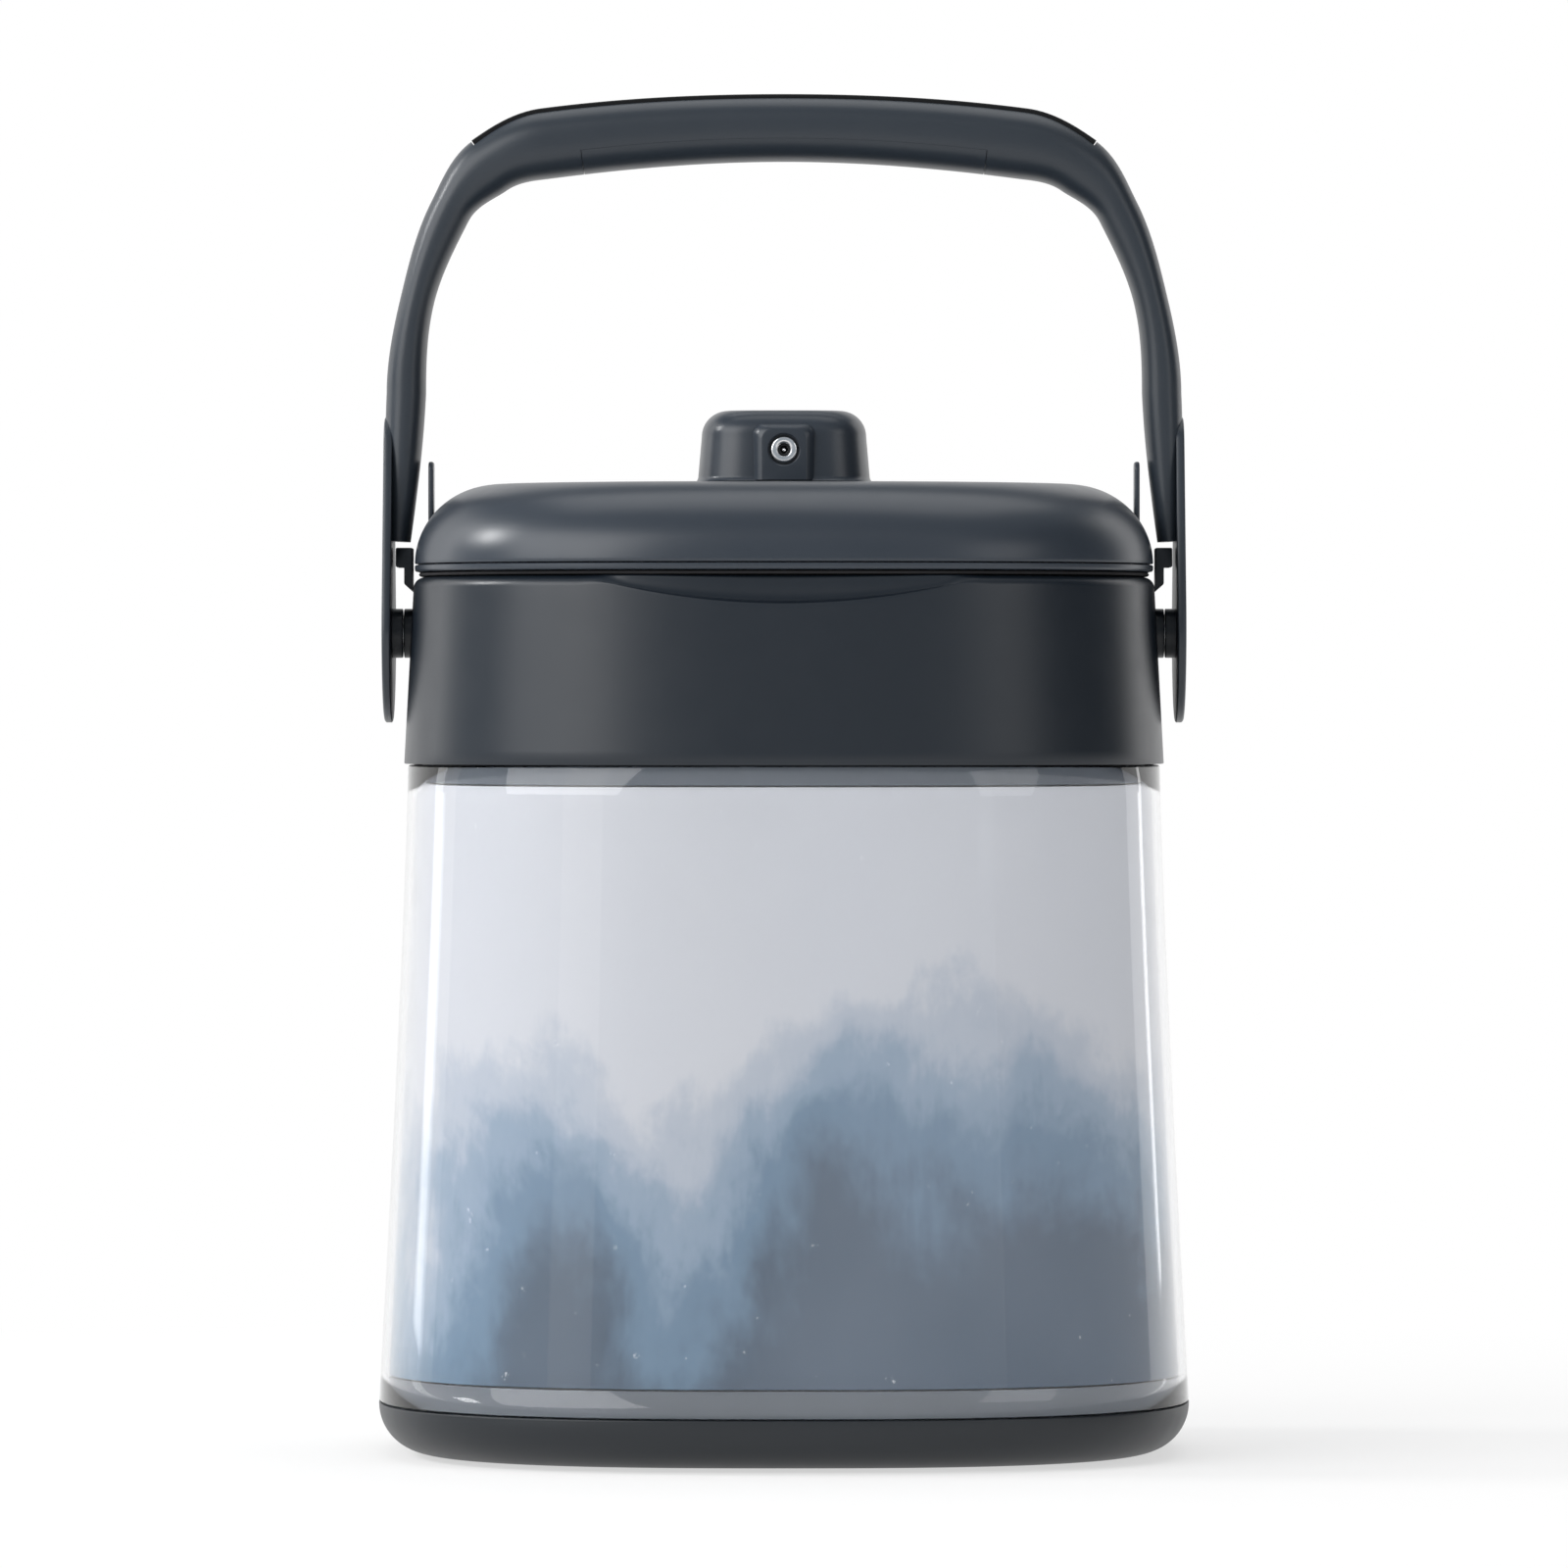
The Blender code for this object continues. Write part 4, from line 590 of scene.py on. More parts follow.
def makeCollar():
    c = collar
    pivotZ = frame["pivotZ"]
    lipOuter, lipFoot = collarLowHalf - shellTopHalf + c["lipInset"], collarLow - c["lipLength"]
    webTop, wallFoot = collarLow + c["webRise"], collarLow + c["footRise"]
    count = 26
    # The rim is rounded, and in the scoop it is a hollow instead: m says how far it is one or the other
    s = scoopShare(outlineX * collarTopHalf, outlineY * collarTopHalf)
    m = smoothStep(s / 0.45)
    a = np.radians(np.linspace(0, 90, count))
    convexIn, convexDown = 1 - np.cos(a), 1 - np.sin(a)
    dense = np.radians(np.linspace(0, 90, 40))
    hollow = np.stack([np.sin(dense), np.cos(dense)], axis=1)
    soft = c["scoopSoft"]
    path = np.concatenate([[[0, 1 + 2 * soft]], [[0, 1 + soft]], [[0.25 * soft, 1 + 0.25 * soft]], hollow[6:-6],
                           [[1 - 0.02, 0.12]], [[1 + 0.1, 0.02]], [[1 + 0.3, 0.0]]])
    along = np.concatenate([[0], np.cumsum(np.hypot(*np.diff(path, axis=0).T))])
    want = np.linspace(0, along[-1], count)
    hollowIn = np.interp(want, along, path[:, 0])
    hollowDown = np.interp(want, along, path[:, 1])
    inRows = m * c["scoopDepth"] * s * hollowIn[:, None] + (1 - m) * c["edgeRadius"] * convexIn[:, None]
    downRows = m * c["scoopDrop"] * s * hollowDown[:, None] + (1 - m) * c["edgeRadius"] * convexDown[:, None]
    topZ = collarTop - downRows
    startZ = topZ[0]
    steps = np.linspace(0, 1, 14)[:, None]
    faceZ = collarLow + 0.25 * mm + (startZ - collarLow - 0.25 * mm) * steps
    faceIn = np.zeros_like(faceZ)
    foot = np.array([[0.25 * mm], [0.07 * mm]])
    footZ = np.array([[collarLow], [collarLow + 0.08 * mm]])
    ones = np.ones((1, len(outlineX)))

    def flat(inset, z):
        return inset * ones, z * ones

    ledgeTop = collarTop - c["ledgeDrop"]
    ledgeLow, ledgeInset, lipInner = ledgeTop - c["ledgeWall"], c["deck"] + c["ledgeWidth"], lipOuter + c["lipWall"]
    insideRows = [
        (c["deck"], collarTop), (c["deck"], collarTop - 0.3 * mm), (c["deck"], ledgeTop), (ledgeInset, ledgeTop),
        (ledgeInset, ledgeLow), (c["wall"], ledgeLow), (c["wall"], webTop), (lipInner, webTop),
        (lipInner, lipFoot), (lipOuter, lipFoot), (lipOuter, wallFoot), (c["wall"], wallFoot), (c["wall"], collarLow),
    ]
    insets = np.concatenate([foot * ones, faceIn[:-1], inRows] + [flat(i, z)[0] for i, z in insideRows])
    zs = np.concatenate([footZ * ones, faceZ[:-1], topZ] + [flat(i, z)[1] for i, z in insideRows])
    halves = collarHalf(zs)
    x = (halves - insets) * outlineX
    y = (halves * body["depthShare"] - insets) * outlineY
    piece = makePiece("collar_ring", gridMesh(np.stack([x, y, zs], axis=2), alongClosed=True), 35)
    face = collarHalf(pivotZ)
    bossFoot, place = face - c["bossRoot"], (0, 0, pivotZ)
    adds, cuts = [], []
    for side, axis in ((1, "X"), (-1, "-X")):
        adds.append(makePiece("boss", rod(c["bossRadius"], bossFoot, face + c["bossProud"], place, axis, 0.35 * mm)))
        adds.append(makePiece("lug", lugGrid(side)))
        cuts.append(makePiece("bore", rod(c["boreRadius"], bossFoot + c["boreEnd"], face + 10 * mm, place, axis)))
    combined(piece, "UNION", adds)
    combined(piece, "DIFFERENCE", cuts)
    dress(piece, "collarGrey", "bucket", ["collar"])


lug = {
    "halfDepth": 6.0 * mm, "rise": 3.0 * mm, "height": 5.5 * mm, "reach": 5.3 * mm, "innerGap": 0.5 * mm,
    "legReach": 2.9 * mm, "root": 1.6 * mm, "legDrop": 5.8 * mm, "legSlant": 4.0 * mm, "edge": 0.5 * mm,
    "soft": ((0, 0.93), (0.15 * mm, 0.98), (0.5 * mm, 1.0)),
}


def softEnds(first, last, steps):
    # Places through a plate's thickness, and the outline's scale at each: smaller near both faces
    return [(first + depth, scale) for depth, scale in steps] + [(last - depth, scale) for depth, scale in steps[::-1]]


def lugGrid(side):
    # The lug's outline in x and z, carried front to back with rounded ends
    g = lug
    legLow, rootTop = collarTop - g["legDrop"], collarTop - collar["edgeRadius"]
    zLow, zHigh = collarTop + g["rise"], collarTop + g["rise"] + g["height"]
    root, inner = collarTopHalf - g["root"], collarTopHalf + g["innerGap"]
    leg, outer = collarTopHalf + g["legReach"], collarTopHalf + g["reach"]
    outline = np.array([(root, legLow), (leg, legLow + g["legSlant"]), (leg, zLow), (outer, zLow),
                        (outer, zHigh), (inner, zHigh), (inner, rootTop), (root, rootTop)])
    rounded = []
    for before, corner, after in zip(np.roll(outline, 1, 0), outline, np.roll(outline, -1, 0)):
        toBefore = (before - corner) / np.linalg.norm(before - corner)
        toAfter = (after - corner) / np.linalg.norm(after - corner)
        t = np.linspace(0, 1, 5)[:, None]
        p0, p2 = corner + toBefore * g["edge"], corner + toAfter * g["edge"]
        rounded.append((1 - t) ** 2 * p0 + 2 * t * (1 - t) * corner + t ** 2 * p2)
    rounded = np.concatenate(rounded)
    rows = []
    middle = outline.mean(axis=0)
    for y, scale in softEnds(-g["halfDepth"], g["halfDepth"], g["soft"]):
        ring = middle + (rounded - middle) * scale
        rows.append(np.column_stack([side * ring[:, 0], np.full(len(ring), y), ring[:, 1]]))
    return gridMesh(np.array(rows), caps=True)


lid = {
    "wall": 2.5 * mm, "edgeWidth": 23.5 * mm, "crownRise": 0.6 * mm,
    "notchDepth": 3.8 * mm, "notchHalf": 12.5 * mm, "notchWall": 2.0 * mm, "notchEdge": 1.2 * mm,
    "earThick": 1.4 * mm, "earHalf": 6.2 * mm, "earTop": 29.3 * mm, "earRoot": 10.2 * mm, "earCorner": 2.5 * mm,
    "earSoft": ((0, 0.955), (0.15 * mm, 0.985), (0.4 * mm, 1.0)),
    "plugInset": 10.4 * mm, "trayWall": 2.0 * mm, "rimEdge": 0.8 * mm, "rimBevel": 0.25 * mm,
    "motorHole": 16.5 * mm, "pipeHole": 4.4 * mm, "pumpY": -2 * mm, "pipeY": 19 * mm, "pipeX": 7 * mm,
    "towerRadius": 14.6 * mm, "towerBore": 12.4 * mm, "towerHeight": 22 * mm, "shaftHole": 4 * mm,
    "postRadius": 4 * mm, "postGap": 1.85 * mm, "boreRadius": 1.9 * mm, "boreLow": 230 * mm,
    "cutLow": 240 * mm, "cutHigh": 300 * mm, "holeTop": 280 * mm,
}


def domeRows(inset, zLow, zTop):
    # A quarter ellipse up from the rim, then a low crown to the middle, as rings of points
    crownZ = zTop - lid["crownRise"] - inset
    a = np.radians(np.linspace(0, 84, 30))
    drawn = inset + lid["edgeWidth"] * (1 - np.cos(a))
    z = zLow + (crownZ - zLow) * np.sin(a)
    rings = bodyRings(lidHalf, drawn, z)
    edge = rings[-1]
    top = np.array([0, 0, zTop - inset])
    shares = np.linspace(0, 1, 16)[1:][:, None, None]
    crown = edge * (1 - shares) + top * shares
    rise = zTop - inset - edge[0, 2]
    crown[:, :, 2] = edge[0, 2] + rise * (1 - (1 - shares[:, :, 0]) ** 3)
    return np.concatenate([rings, crown])


def notchBlocks(floorX, halfDepth, edge):
    # On each side, what is cut away behind an ear: from the notch's floor out past the dome
    far, made = lidHalf + 2 * mm, []
    for side in (-1, 1):
        first, last = sorted((side * floorX, side * far))
        made.append(makePiece("notch", roundedBlock(
            (first, -halfDepth, lid["cutLow"]), (last, halfDepth, lid["cutHigh"]), edge)))
    return made


def pipeHoles(zLow, zHigh):
    places = [(side * lid["pipeX"], lid["pipeY"], 0) for side in (-1, 1)]
    return [makePiece("pipe", rod(lid["pipeHole"], zLow, zHigh, place, "Z")) for place in places]


def atScrews(name, radius, zLow, zHigh):
    made = []
    for screw in ("lid_screw_1", "lid_screw_2", "lid_screw_3", "lid_screw_4"):
        x, y = ((low(screw) + high(screw)) / 2)[:2]
        made.append(makePiece(name, rod(radius, zLow, zHigh, (x, y, 0), "Z")))
    return made


def makeLid():
    floorX, half = lidHalf - lid["notchDepth"], lid["notchHalf"]
    lead = bodyRings(lidHalf, np.array([0.5, 0.1]) * mm, np.array([lidLow, lidLow + 0.12 * mm]))
    outer = domeRows(0, lidLow, lidTop)
    outer[0, :, 2] = lidLow + 0.5 * mm
    piece = makePiece("lid_dome", gridMesh(np.concatenate([lead, outer])))
    closeFloor(piece)
    hollow = makePiece("hollow", gridMesh(domeRows(lid["wall"], lidLow - 2 * mm, lidTop)))
    closeFloor(hollow)
    combined(hollow, "DIFFERENCE", notchBlocks(floorX - lid["notchWall"], half + lid["notchWall"], 0.5 * mm))
    cuts = [hollow] + notchBlocks(floorX, half, lid["notchEdge"])
    cuts.append(makePiece("motor", rod(lid["motorHole"], lidLow, lid["holeTop"], (0, lid["pumpY"], 0), "Z")))
    combined(piece, "DIFFERENCE", cuts + pipeHoles(lidLow, lid["holeTop"]))
    ears = [makePiece("ear", earGrid(side, floorX, lidLow)) for side in (-1, 1)]
    posts = atScrews("post", lid["postRadius"], low("lid_cover")[2], lidTop - lid["postGap"])
    combined(piece, "UNION", ears + posts)
    bores = atScrews("bore", lid["boreRadius"], lid["boreLow"], high("lid_screw_1")[2] + gap)
    combined(piece, "DIFFERENCE", bores, 30)
    dress(piece, "lidGrey", "lid", ["lid_cover"])


def closeFloor(piece):
    # Fills the open rim of a dome with one flat face
    bm = bmesh.new()
    bm.from_mesh(piece.data)
    bmesh.ops.holes_fill(bm, edges=[e for e in bm.edges if e.is_boundary], sides=0)
    bmesh.ops.recalc_face_normals(bm, faces=bm.faces)
    bm.to_mesh(piece.data)
    bm.free()


def earGrid(side, floorX, zLow):
    # A thin upright plate with rounded top corners
    t, half, corner = lid["earThick"], lid["earHalf"], lid["earCorner"]
    zTop, zRoot = zLow + lid["earTop"], zLow + lid["earRoot"]
    across, up = arc(corner, 0, 90, 9)
    right = np.column_stack([half - corner + across, zTop - corner + up])
    outline = np.concatenate([[(half, zRoot)], right, right[::-1] * (-1, 1), [(-half, zRoot)]])
    middle = np.array([0, (zRoot + zTop) / 2])
    rows = []
    for x, scale in softEnds(0, t, lid["earSoft"]):
        ring = middle + (outline - middle) * scale
        rows.append(np.column_stack([np.full(len(ring), side * (floorX - t + x)), ring]))
    return gridMesh(np.array(rows), caps=True)


def makeTray():
    floorZ, past = rimLow - plugDepth, 10 * mm
    t, p, r, bevel = lid["trayWall"], lid["plugInset"], lid["rimEdge"], lid["rimBevel"]
    across, up = arc(r, -90, 0, 6)
    rows = [(p + t, floorZ), (p + 0.6 * t, floorZ + 0.1 * t), (p + 0.1 * t, floorZ + 0.6 * t),
            (p, floorZ + t), (p, rimLow)]
    rows += [(r - a, rimLow + r + u) for a, u in zip(across, up)]
    rows += [(0, rimTop - bevel), (bevel, rimTop), (p + t, rimTop), (p + t, floorZ + t)]
    piece = fromProfile("lid_pan", lidHalf, rows)
    place, towerTop = (0, lid["pumpY"], 0), floorZ + t + lid["towerHeight"]
    tower = makePiece("tower", rod(lid["towerRadius"], floorZ + t / 2, towerTop, place, "Z", 0.5 * mm))
    combined(piece, "UNION", [tower])
    cuts = notchBlocks(lidHalf - lid["notchDepth"], lid["notchHalf"], lid["notchEdge"])
    cuts.append(makePiece("bore", rod(lid["towerBore"], floorZ + t, towerTop + past, place, "Z")))
    cuts.append(makePiece("shaft", rod(lid["shaftHole"], floorZ - past, floorZ + past, place, "Z")))
    cuts += pipeHoles(floorZ - past, rimTop)
    cuts += atScrews("hole", lid["boreRadius"], floorZ - past, floorZ + 4 * mm)
    combined(piece, "DIFFERENCE", cuts)
    dress(piece, "lidGrey", "lid", ["lid_tray"])


gasket = {"inner": 8.6 * mm, "stem": 5.2 * mm, "lip": 1.2 * mm, "edge": 0.3 * mm}


def makeGasket():
    # A stem hangs beside the tub's mouth, and a thin lip lies over the collar's deck
    zLow, zHigh, lipLow = low("lid_gasket")[2], high("lid_gasket")[2], collarTop + gap
    inner, stem, lip, edge = gasket["inner"], gasket["stem"], gasket["lip"], gasket["edge"]
    rows = [(inner, zLow + edge), (inner - edge, zLow), (stem + edge, zLow), (stem, zLow + edge),
            (stem, lipLow - edge), (stem - edge, lipLow), (lip + edge, lipLow), (lip, lipLow + edge),
            (lip, zHigh - edge), (lip + edge, zHigh), (inner - edge, zHigh), (inner, zHigh - edge)]
    piece = fromProfile("lid_seal", lidHalf, rows, alongClosed=True)
    # The seal is grey silicone, but it takes the black foot-rubber finish: this black is painted shade for the dark gap
    # under the lid's rim
    dress(piece, "footRubber", "lid", ["lid_gasket"])


hood = {
    "half": 24.4 * mm, "halfDepth": 31 * mm, "y": 3 * mm, "height": 20.1 * mm, "draft": 1.0 * mm, "power": 4.0,
    "edge": 7.2 * mm, "wall": 2.2 * mm, "flare": 0.7 * mm, "flareHeight": 1.5 * mm,
    "panelFace": 6.9 * mm, "panelBase": 9.0 * mm, "panelHeight": 16.1 * mm, "panelSlope": 1.1 * mm,
    "panelProud": 2.2 * mm, "panelCorner": 3 * mm, "panelEdge": 0.7 * mm, "panelFoot": 0.2 * mm,
    "seatRadius": 5.8 * mm, "seatEnds": (-7.2 * mm, -4.4 * mm), "holeRadius": 3.6 * mm, "portHalf": 12.8 * mm,
    "recess": [(0, 5), (4.75, 5), (4.75, 0.05), (4.6, -0.1), (4.35, -0.3), (4.35, -2.7), (0, -2.7)],
}
hoodX, hoodY = spacedOutline(200, hood["power"], hood["halfDepth"] / hood["half"])


def hoodRings(inset, zLow):
    h = hood
    zTop = zLow + h["height"]
    edgeZ = zTop - h["edge"]
    drawn, zs = [], []
    if inset == 0:
        t = np.linspace(0, 1, 8)
        drawn += list(-h["flare"] * (1 - t) ** 2)
        zs += list(zLow + h["flareHeight"] * t)
    else:
        drawn.append(0)
        zs.append(zLow - 2 * mm)
    t = np.linspace(0, 1, 8)[1:-1]
    startZ = zs[-1]
    drawn += list(h["draft"] * t)
    zs += list(startZ + (edgeZ - startZ) * t)
    a = np.radians(np.linspace(0, 80, 18))
    drawn += list(h["draft"] + h["edge"] * (1 - np.cos(a)))
    zs += list(edgeZ + (h["edge"] - inset) * np.sin(a))
    drawn, zs = np.array(drawn) + inset, np.array(zs)
    x = (h["half"] - drawn)[:, None] * hoodX
    y = (h["halfDepth"] - drawn)[:, None] * hoodY + h["y"]
    rings = np.stack([x, y, np.broadcast_to(zs[:, None], x.shape)], axis=2)
    top = np.array([0, h["y"], zTop - inset])
    shares = np.linspace(0, 1, 10)[1:][:, None, None]
    crown = rings[-1] * (1 - shares) + top * shares
    crown[:, :, 2] = rings[-1][0, 2] + (top[2] - rings[-1][0, 2]) * (1 - (1 - shares[:, :, 0]) ** 2)
    return np.concatenate([rings, crown])


def panelGrid(zBase):
    # The raised pad: its outline grows from the face to the foot, with a round rim at the face
    h, edge, foot = hood, hood["panelEdge"], hood["panelFoot"]
    frontY = h["y"] - h["halfDepth"]
    faceY = frontY - h["panelProud"]
    across, up = arc(h["panelCorner"], 0, 90, 12)
    rows = []
    for y, grow, shrink in (
        (faceY, 0.0, edge), (faceY + 0.08 * mm, 0.0, 0.6 * edge), (faceY + 0.25 * mm, 0.0, 0.28 * edge),
        (faceY + 0.5 * mm, 0.12, 0.08 * edge), (faceY + edge, 0.24, 0), (frontY, 0.72, 0),
        (frontY + 2.1 * mm, 1.0, 0),
    ):
        half = h["panelFace"] + (h["panelBase"] - h["panelFace"]) * grow - shrink
        top = h["panelHeight"] - h["panelSlope"] * (1 - grow) - shrink
        right = np.column_stack([half - h["panelCorner"] + across, top - h["panelCorner"] + up])
        outline = np.concatenate([[(half, foot)], right, right[::-1] * (-1, 1), [(-half, foot)]])
        rows.append(np.column_stack([outline[:, 0], np.full(len(outline), y), zBase + outline[:, 1]]))
    return gridMesh(np.array(rows), caps=True)


def turnedRows(rows, place, axis, count=96):
    # Rows of radius and height in millimetres
    return turned(np.array(rows) * mm, place, axis, count)


def makeHood():
    zLow = low("pump_hood")[2]
    piece = makePiece("hood", gridMesh(hoodRings(0, zLow)))
    closeFloor(piece)
    combined(piece, "UNION", [makePiece("panel", panelGrid(zLow))], 30)
    inside = makePiece("inside", gridMesh(hoodRings(hood["wall"], zLow)))
    closeFloor(inside)
    combined(piece, "DIFFERENCE", [inside])
    faceY = hood["y"] - hood["halfDepth"] - hood["panelProud"]
    place = (0, faceY, (low("jack_barrel")[2] + high("jack_barrel")[2]) / 2)
    combined(piece, "UNION", [makePiece("seat", rod(hood["seatRadius"], *hood["seatEnds"], place, "-Y"))])
    portLow, portHigh, half = low("hose_port"), high("hose_port"), hood["portHalf"]
    cuts = [
        makePiece("recess", gridMesh(turnedRows(hood["recess"], place, "-Y"))),
        makePiece("hole", rod(hood["holeRadius"], -12 * mm, 2 * mm, place, "-Y")),
        makePiece("portHole", roundedBlock(
            (-half, portLow[1], portLow[2] - gap), (half, portHigh[1], portHigh[2] + gap), 0.3 * mm)),
    ]
    combined(piece, "DIFFERENCE", cuts, 30)
    dress(piece, "lidGrey", "lid", ["pump_hood"])


socket = {
    "ring": [(1.85, -0.25), (1.95, -0.08), (2.1, 0), (3.2, 0), (3.45, -0.06), (3.62, -0.2), (3.7, -0.45),
             (3.7, -2.2), (3.3, -2.2), (3.3, -12), (1.85, -12)],
    "core": [(1.1, -2.35), (1.25, -2.2), (1.55, -2.2), (1.65, -2.3), (1.65, -13.5), (0, -13.5), (0, -8.5),
             (1.1, -8.5)],
    "pin": [(0, -1.2), (0.25, -1.25), (0.42, -1.4), (0.5, -1.6), (0.5, -8.2), (0, -8.2)],
}


def makeSocket():
    barrelLow, barrelHigh = low("jack_barrel"), high("jack_barrel")
    place = (0, barrelLow[1], (barrelLow[2] + barrelHigh[2]) / 2)
    for part, node, finish, slot, count, closed in (
        ("ring", "jack_barrel", "nickel", "nickel_plate", 96, True),
        ("core", "jack_core", "blackPlastic", "black_plastic", 96, True),
        ("pin", "jack_pin", "nickel", "nickel_plate", 48, False),
    ):
        grid = turnedRows(socket[part], place, "-Y", count)
        piece = makePiece("socket_" + part, gridMesh(grid, alongClosed=closed), 40)
        dress(piece, finish, "lid", [node])


port = {
    "reach": 10 * mm, "edge": 1.2 * mm, "bore": 2.1 * mm,
    "barb": [(0, -3), (2.9, -3), (3.3, 0), (3.1, 0.5), (3.1, 2.2), (3.6, 2.3), (2.95, 5.2), (3.45, 5.3),
             (2.8, 8.2), (3.2, 8.3), (2.6, 9.9), (2.4, 10), (0, 10)],
}


def makePort():
    portLow, portHigh = low("hose_port"), high("hose_port")
    faceY, z = portHigh[1] - port["reach"], (portLow[2] + portHigh[2]) / 2
    piece = makePiece("hose_socket", roundedBlock(portLow, (portHigh[0], faceY, portHigh[2]), port["edge"]))
    adds, cuts = [], []
    for side in (-1, 1):
        place = (side * lid["pipeX"], faceY, z)
        adds.append(makePiece("barb", gridMesh(turnedRows(port["barb"], place, "Y"))))
        cuts.append(makePiece("bore", rod(port["bore"], -20 * mm, 12 * mm, place, "Y")))
    combined(piece, "UNION", adds)
    combined(piece, "DIFFERENCE", cuts, 30)
    dress(piece, "blackPlastic", "lid", ["hose_port"])


handle = {
    "kneeInset": 3.8, "kneeRise": 68.3, "footInset": 1.8, "footGap": 1.8, "armArc": 114.5, "cornerArc": 35.7,
    "lean": 26.9, "slope": 7.5, "power": 2.5, "barHalf": 12.5, "armHalf": 10.0,
    "thick": {"bar": 19.0, "shoulder": 19.9, "corner": 17.1, "armTop": 11.9, "middle": 9.6, "lower": 11.2, "foot": 6.4},
    "paddle": 25.4, "neck": 9.8, "neckRise": 52.0, "plate": 2.4, "hub": 3.2,
    "hubRadius": 7, "recessRadius": 6.4, "bushRadius": 4.9, "bedGap": 0.3, "endGap": 0.1,
    "stripHalf": 84.0, "stripDeep": 7.5, "stripThick": 1.7, "padHalf": 58.0, "padWall": 1.6, "padReach": 74,
}
frame["pivotZ"] = 0.2326
bossFace = collarHalf(frame["pivotZ"]) + collar["bossProud"]
paddleInner = bossFace + handle["hub"] * mm
paddleOuter = paddleInner + handle["plate"] * mm


def handlePath(per):
    # Centreline from the right foot over to the left: a straight foot, the arm's arc, the corner's arc
    # and half of the bar's arc, then the same mirrored. Gives points, turning angle and way along
    h = handle
    lean, slope = math.radians(h["lean"]), math.radians(h["slope"])
    pivotZ = frame["pivotZ"]
    footZ = collarTop + lug["rise"] + lug["height"] + h["footGap"] * mm
    foot = np.array([paddleInner - h["footInset"] * mm, footZ])
    knee = np.array([paddleInner - h["kneeInset"] * mm, pivotZ + h["kneeRise"] * mm])
    t = np.linspace(0, 1, per, endpoint=False)
    parts = []
    tilt = math.atan2(-(knee[0] - foot[0]), knee[1] - foot[1])
    parts.append((foot[0] + (knee[0] - foot[0]) * t, foot[1] + (knee[1] - foot[1]) * t, tilt * (1 - t), t))
    arm = h["armArc"] * mm
    turn = lean * t
    parts.append((knee[0] - arm * (1 - np.cos(turn)), knee[1] + arm * np.sin(turn), turn, 1 + t))
    endX, endZ = knee[0] - arm * (1 - math.cos(lean)), knee[1] + arm * math.sin(lean)
    corner = h["cornerArc"] * mm
    turn = lean + (math.pi / 2 - slope - lean) * t
    parts.append((endX - corner * (math.cos(lean) - np.cos(turn)),
                  endZ + corner * (np.sin(turn) - math.sin(lean)), turn, 2 + t))
    barTurn = math.pi / 2 - slope
    barX = endX - corner * (math.cos(lean) - math.cos(barTurn))
    barZ = endZ + corner * (math.sin(barTurn) - math.sin(lean))
    radius = barX / math.sin(slope)
    turn = slope * (1 - t)
    parts.append((radius * np.sin(turn), barZ + radius * (np.cos(turn) - math.cos(slope)),
                  math.pi / 2 - turn, 3 + t))
    x, z, angle, way = (np.concatenate(v) for v in zip(*parts))
    topZ = barZ + radius * (1 - math.cos(slope))
    x = np.concatenate([x, [0], -x[::-1]])
    z = np.concatenate([z, [topZ], z[::-1]])
    angle = np.concatenate([angle, [math.pi / 2], math.pi - angle[::-1]])
    way = np.concatenate([way, [4], way[::-1]])
    return x, z, angle, way


def between(way, values):
    i = np.clip(way.astype(int), 0, len(values) - 2)
    share = smoothStep(way - i)
    values = np.array(values)
    return values[i] + (values[i + 1] - values[i]) * share


def handleSizes(way):
    t = handle["thick"]
    foot = t["foot"] + (t["lower"] - t["foot"]) * np.sin(np.clip(way, 0, 1) * np.pi / 2)
    arm = between(np.clip(way * 2 - 2, 0, 2), [t["lower"], t["middle"], t["armTop"]])
    corner = between(np.clip(way * 2 - 4, 0, 2), [t["armTop"], t["corner"], t["shoulder"]])
    bar = between(np.clip(way - 3, 0, 1), [t["shoulder"], t["bar"]])
    thick = np.select([way < 1, way < 2, way < 3], [foot, arm, corner], bar) * mm
    deep = between(np.clip(way - 2, 0, 2), [handle["armHalf"], handle["barHalf"], handle["barHalf"]]) * mm
    return thick, deep


def sweep(path, section):
    # Carries a section of (outward, depth) points along the path; outward is square to it in x and z
    x, z, angle, way = path
    out, deep = section(way)
    outX, outZ = np.cos(angle)[:, None], np.sin(angle)[:, None]
    return np.stack([x[:, None] + out * outX, deep, z[:, None] + out * outZ], axis=2)


def power(c, p):
    return np.sign(c) * np.abs(c) ** (2 / p)


def fullSection(count, grow=0.0):
    a = 2 * np.pi * (np.arange(count) + 0.5) / count

    def section(way):
        thick, deep = handleSizes(way)
        p = handle["power"]
        return ((thick / 2 + grow)[:, None] * power(np.cos(a), p), (deep + grow)[:, None] * power(np.sin(a), p))
    return section


def clipPath(path, halfLength, count):
    # Even steps along the bar within this distance of the middle
    x, z, angle, way = path
    inside = np.abs(x) <= halfLength * 1.2
    x, z, angle, way = x[inside], z[inside], angle[inside], way[inside]
    signed = np.where(x >= 0, way, 8 - way)
    want = np.linspace(-halfLength, halfLength, count)
    order = np.argsort(x)
    at = [np.interp(want, x[order], v[order]) for v in (z, angle, signed)]
    return want[::-1], at[0][::-1], at[1][::-1], np.where(at[2] > 4, 8 - at[2], at[2])[::-1]


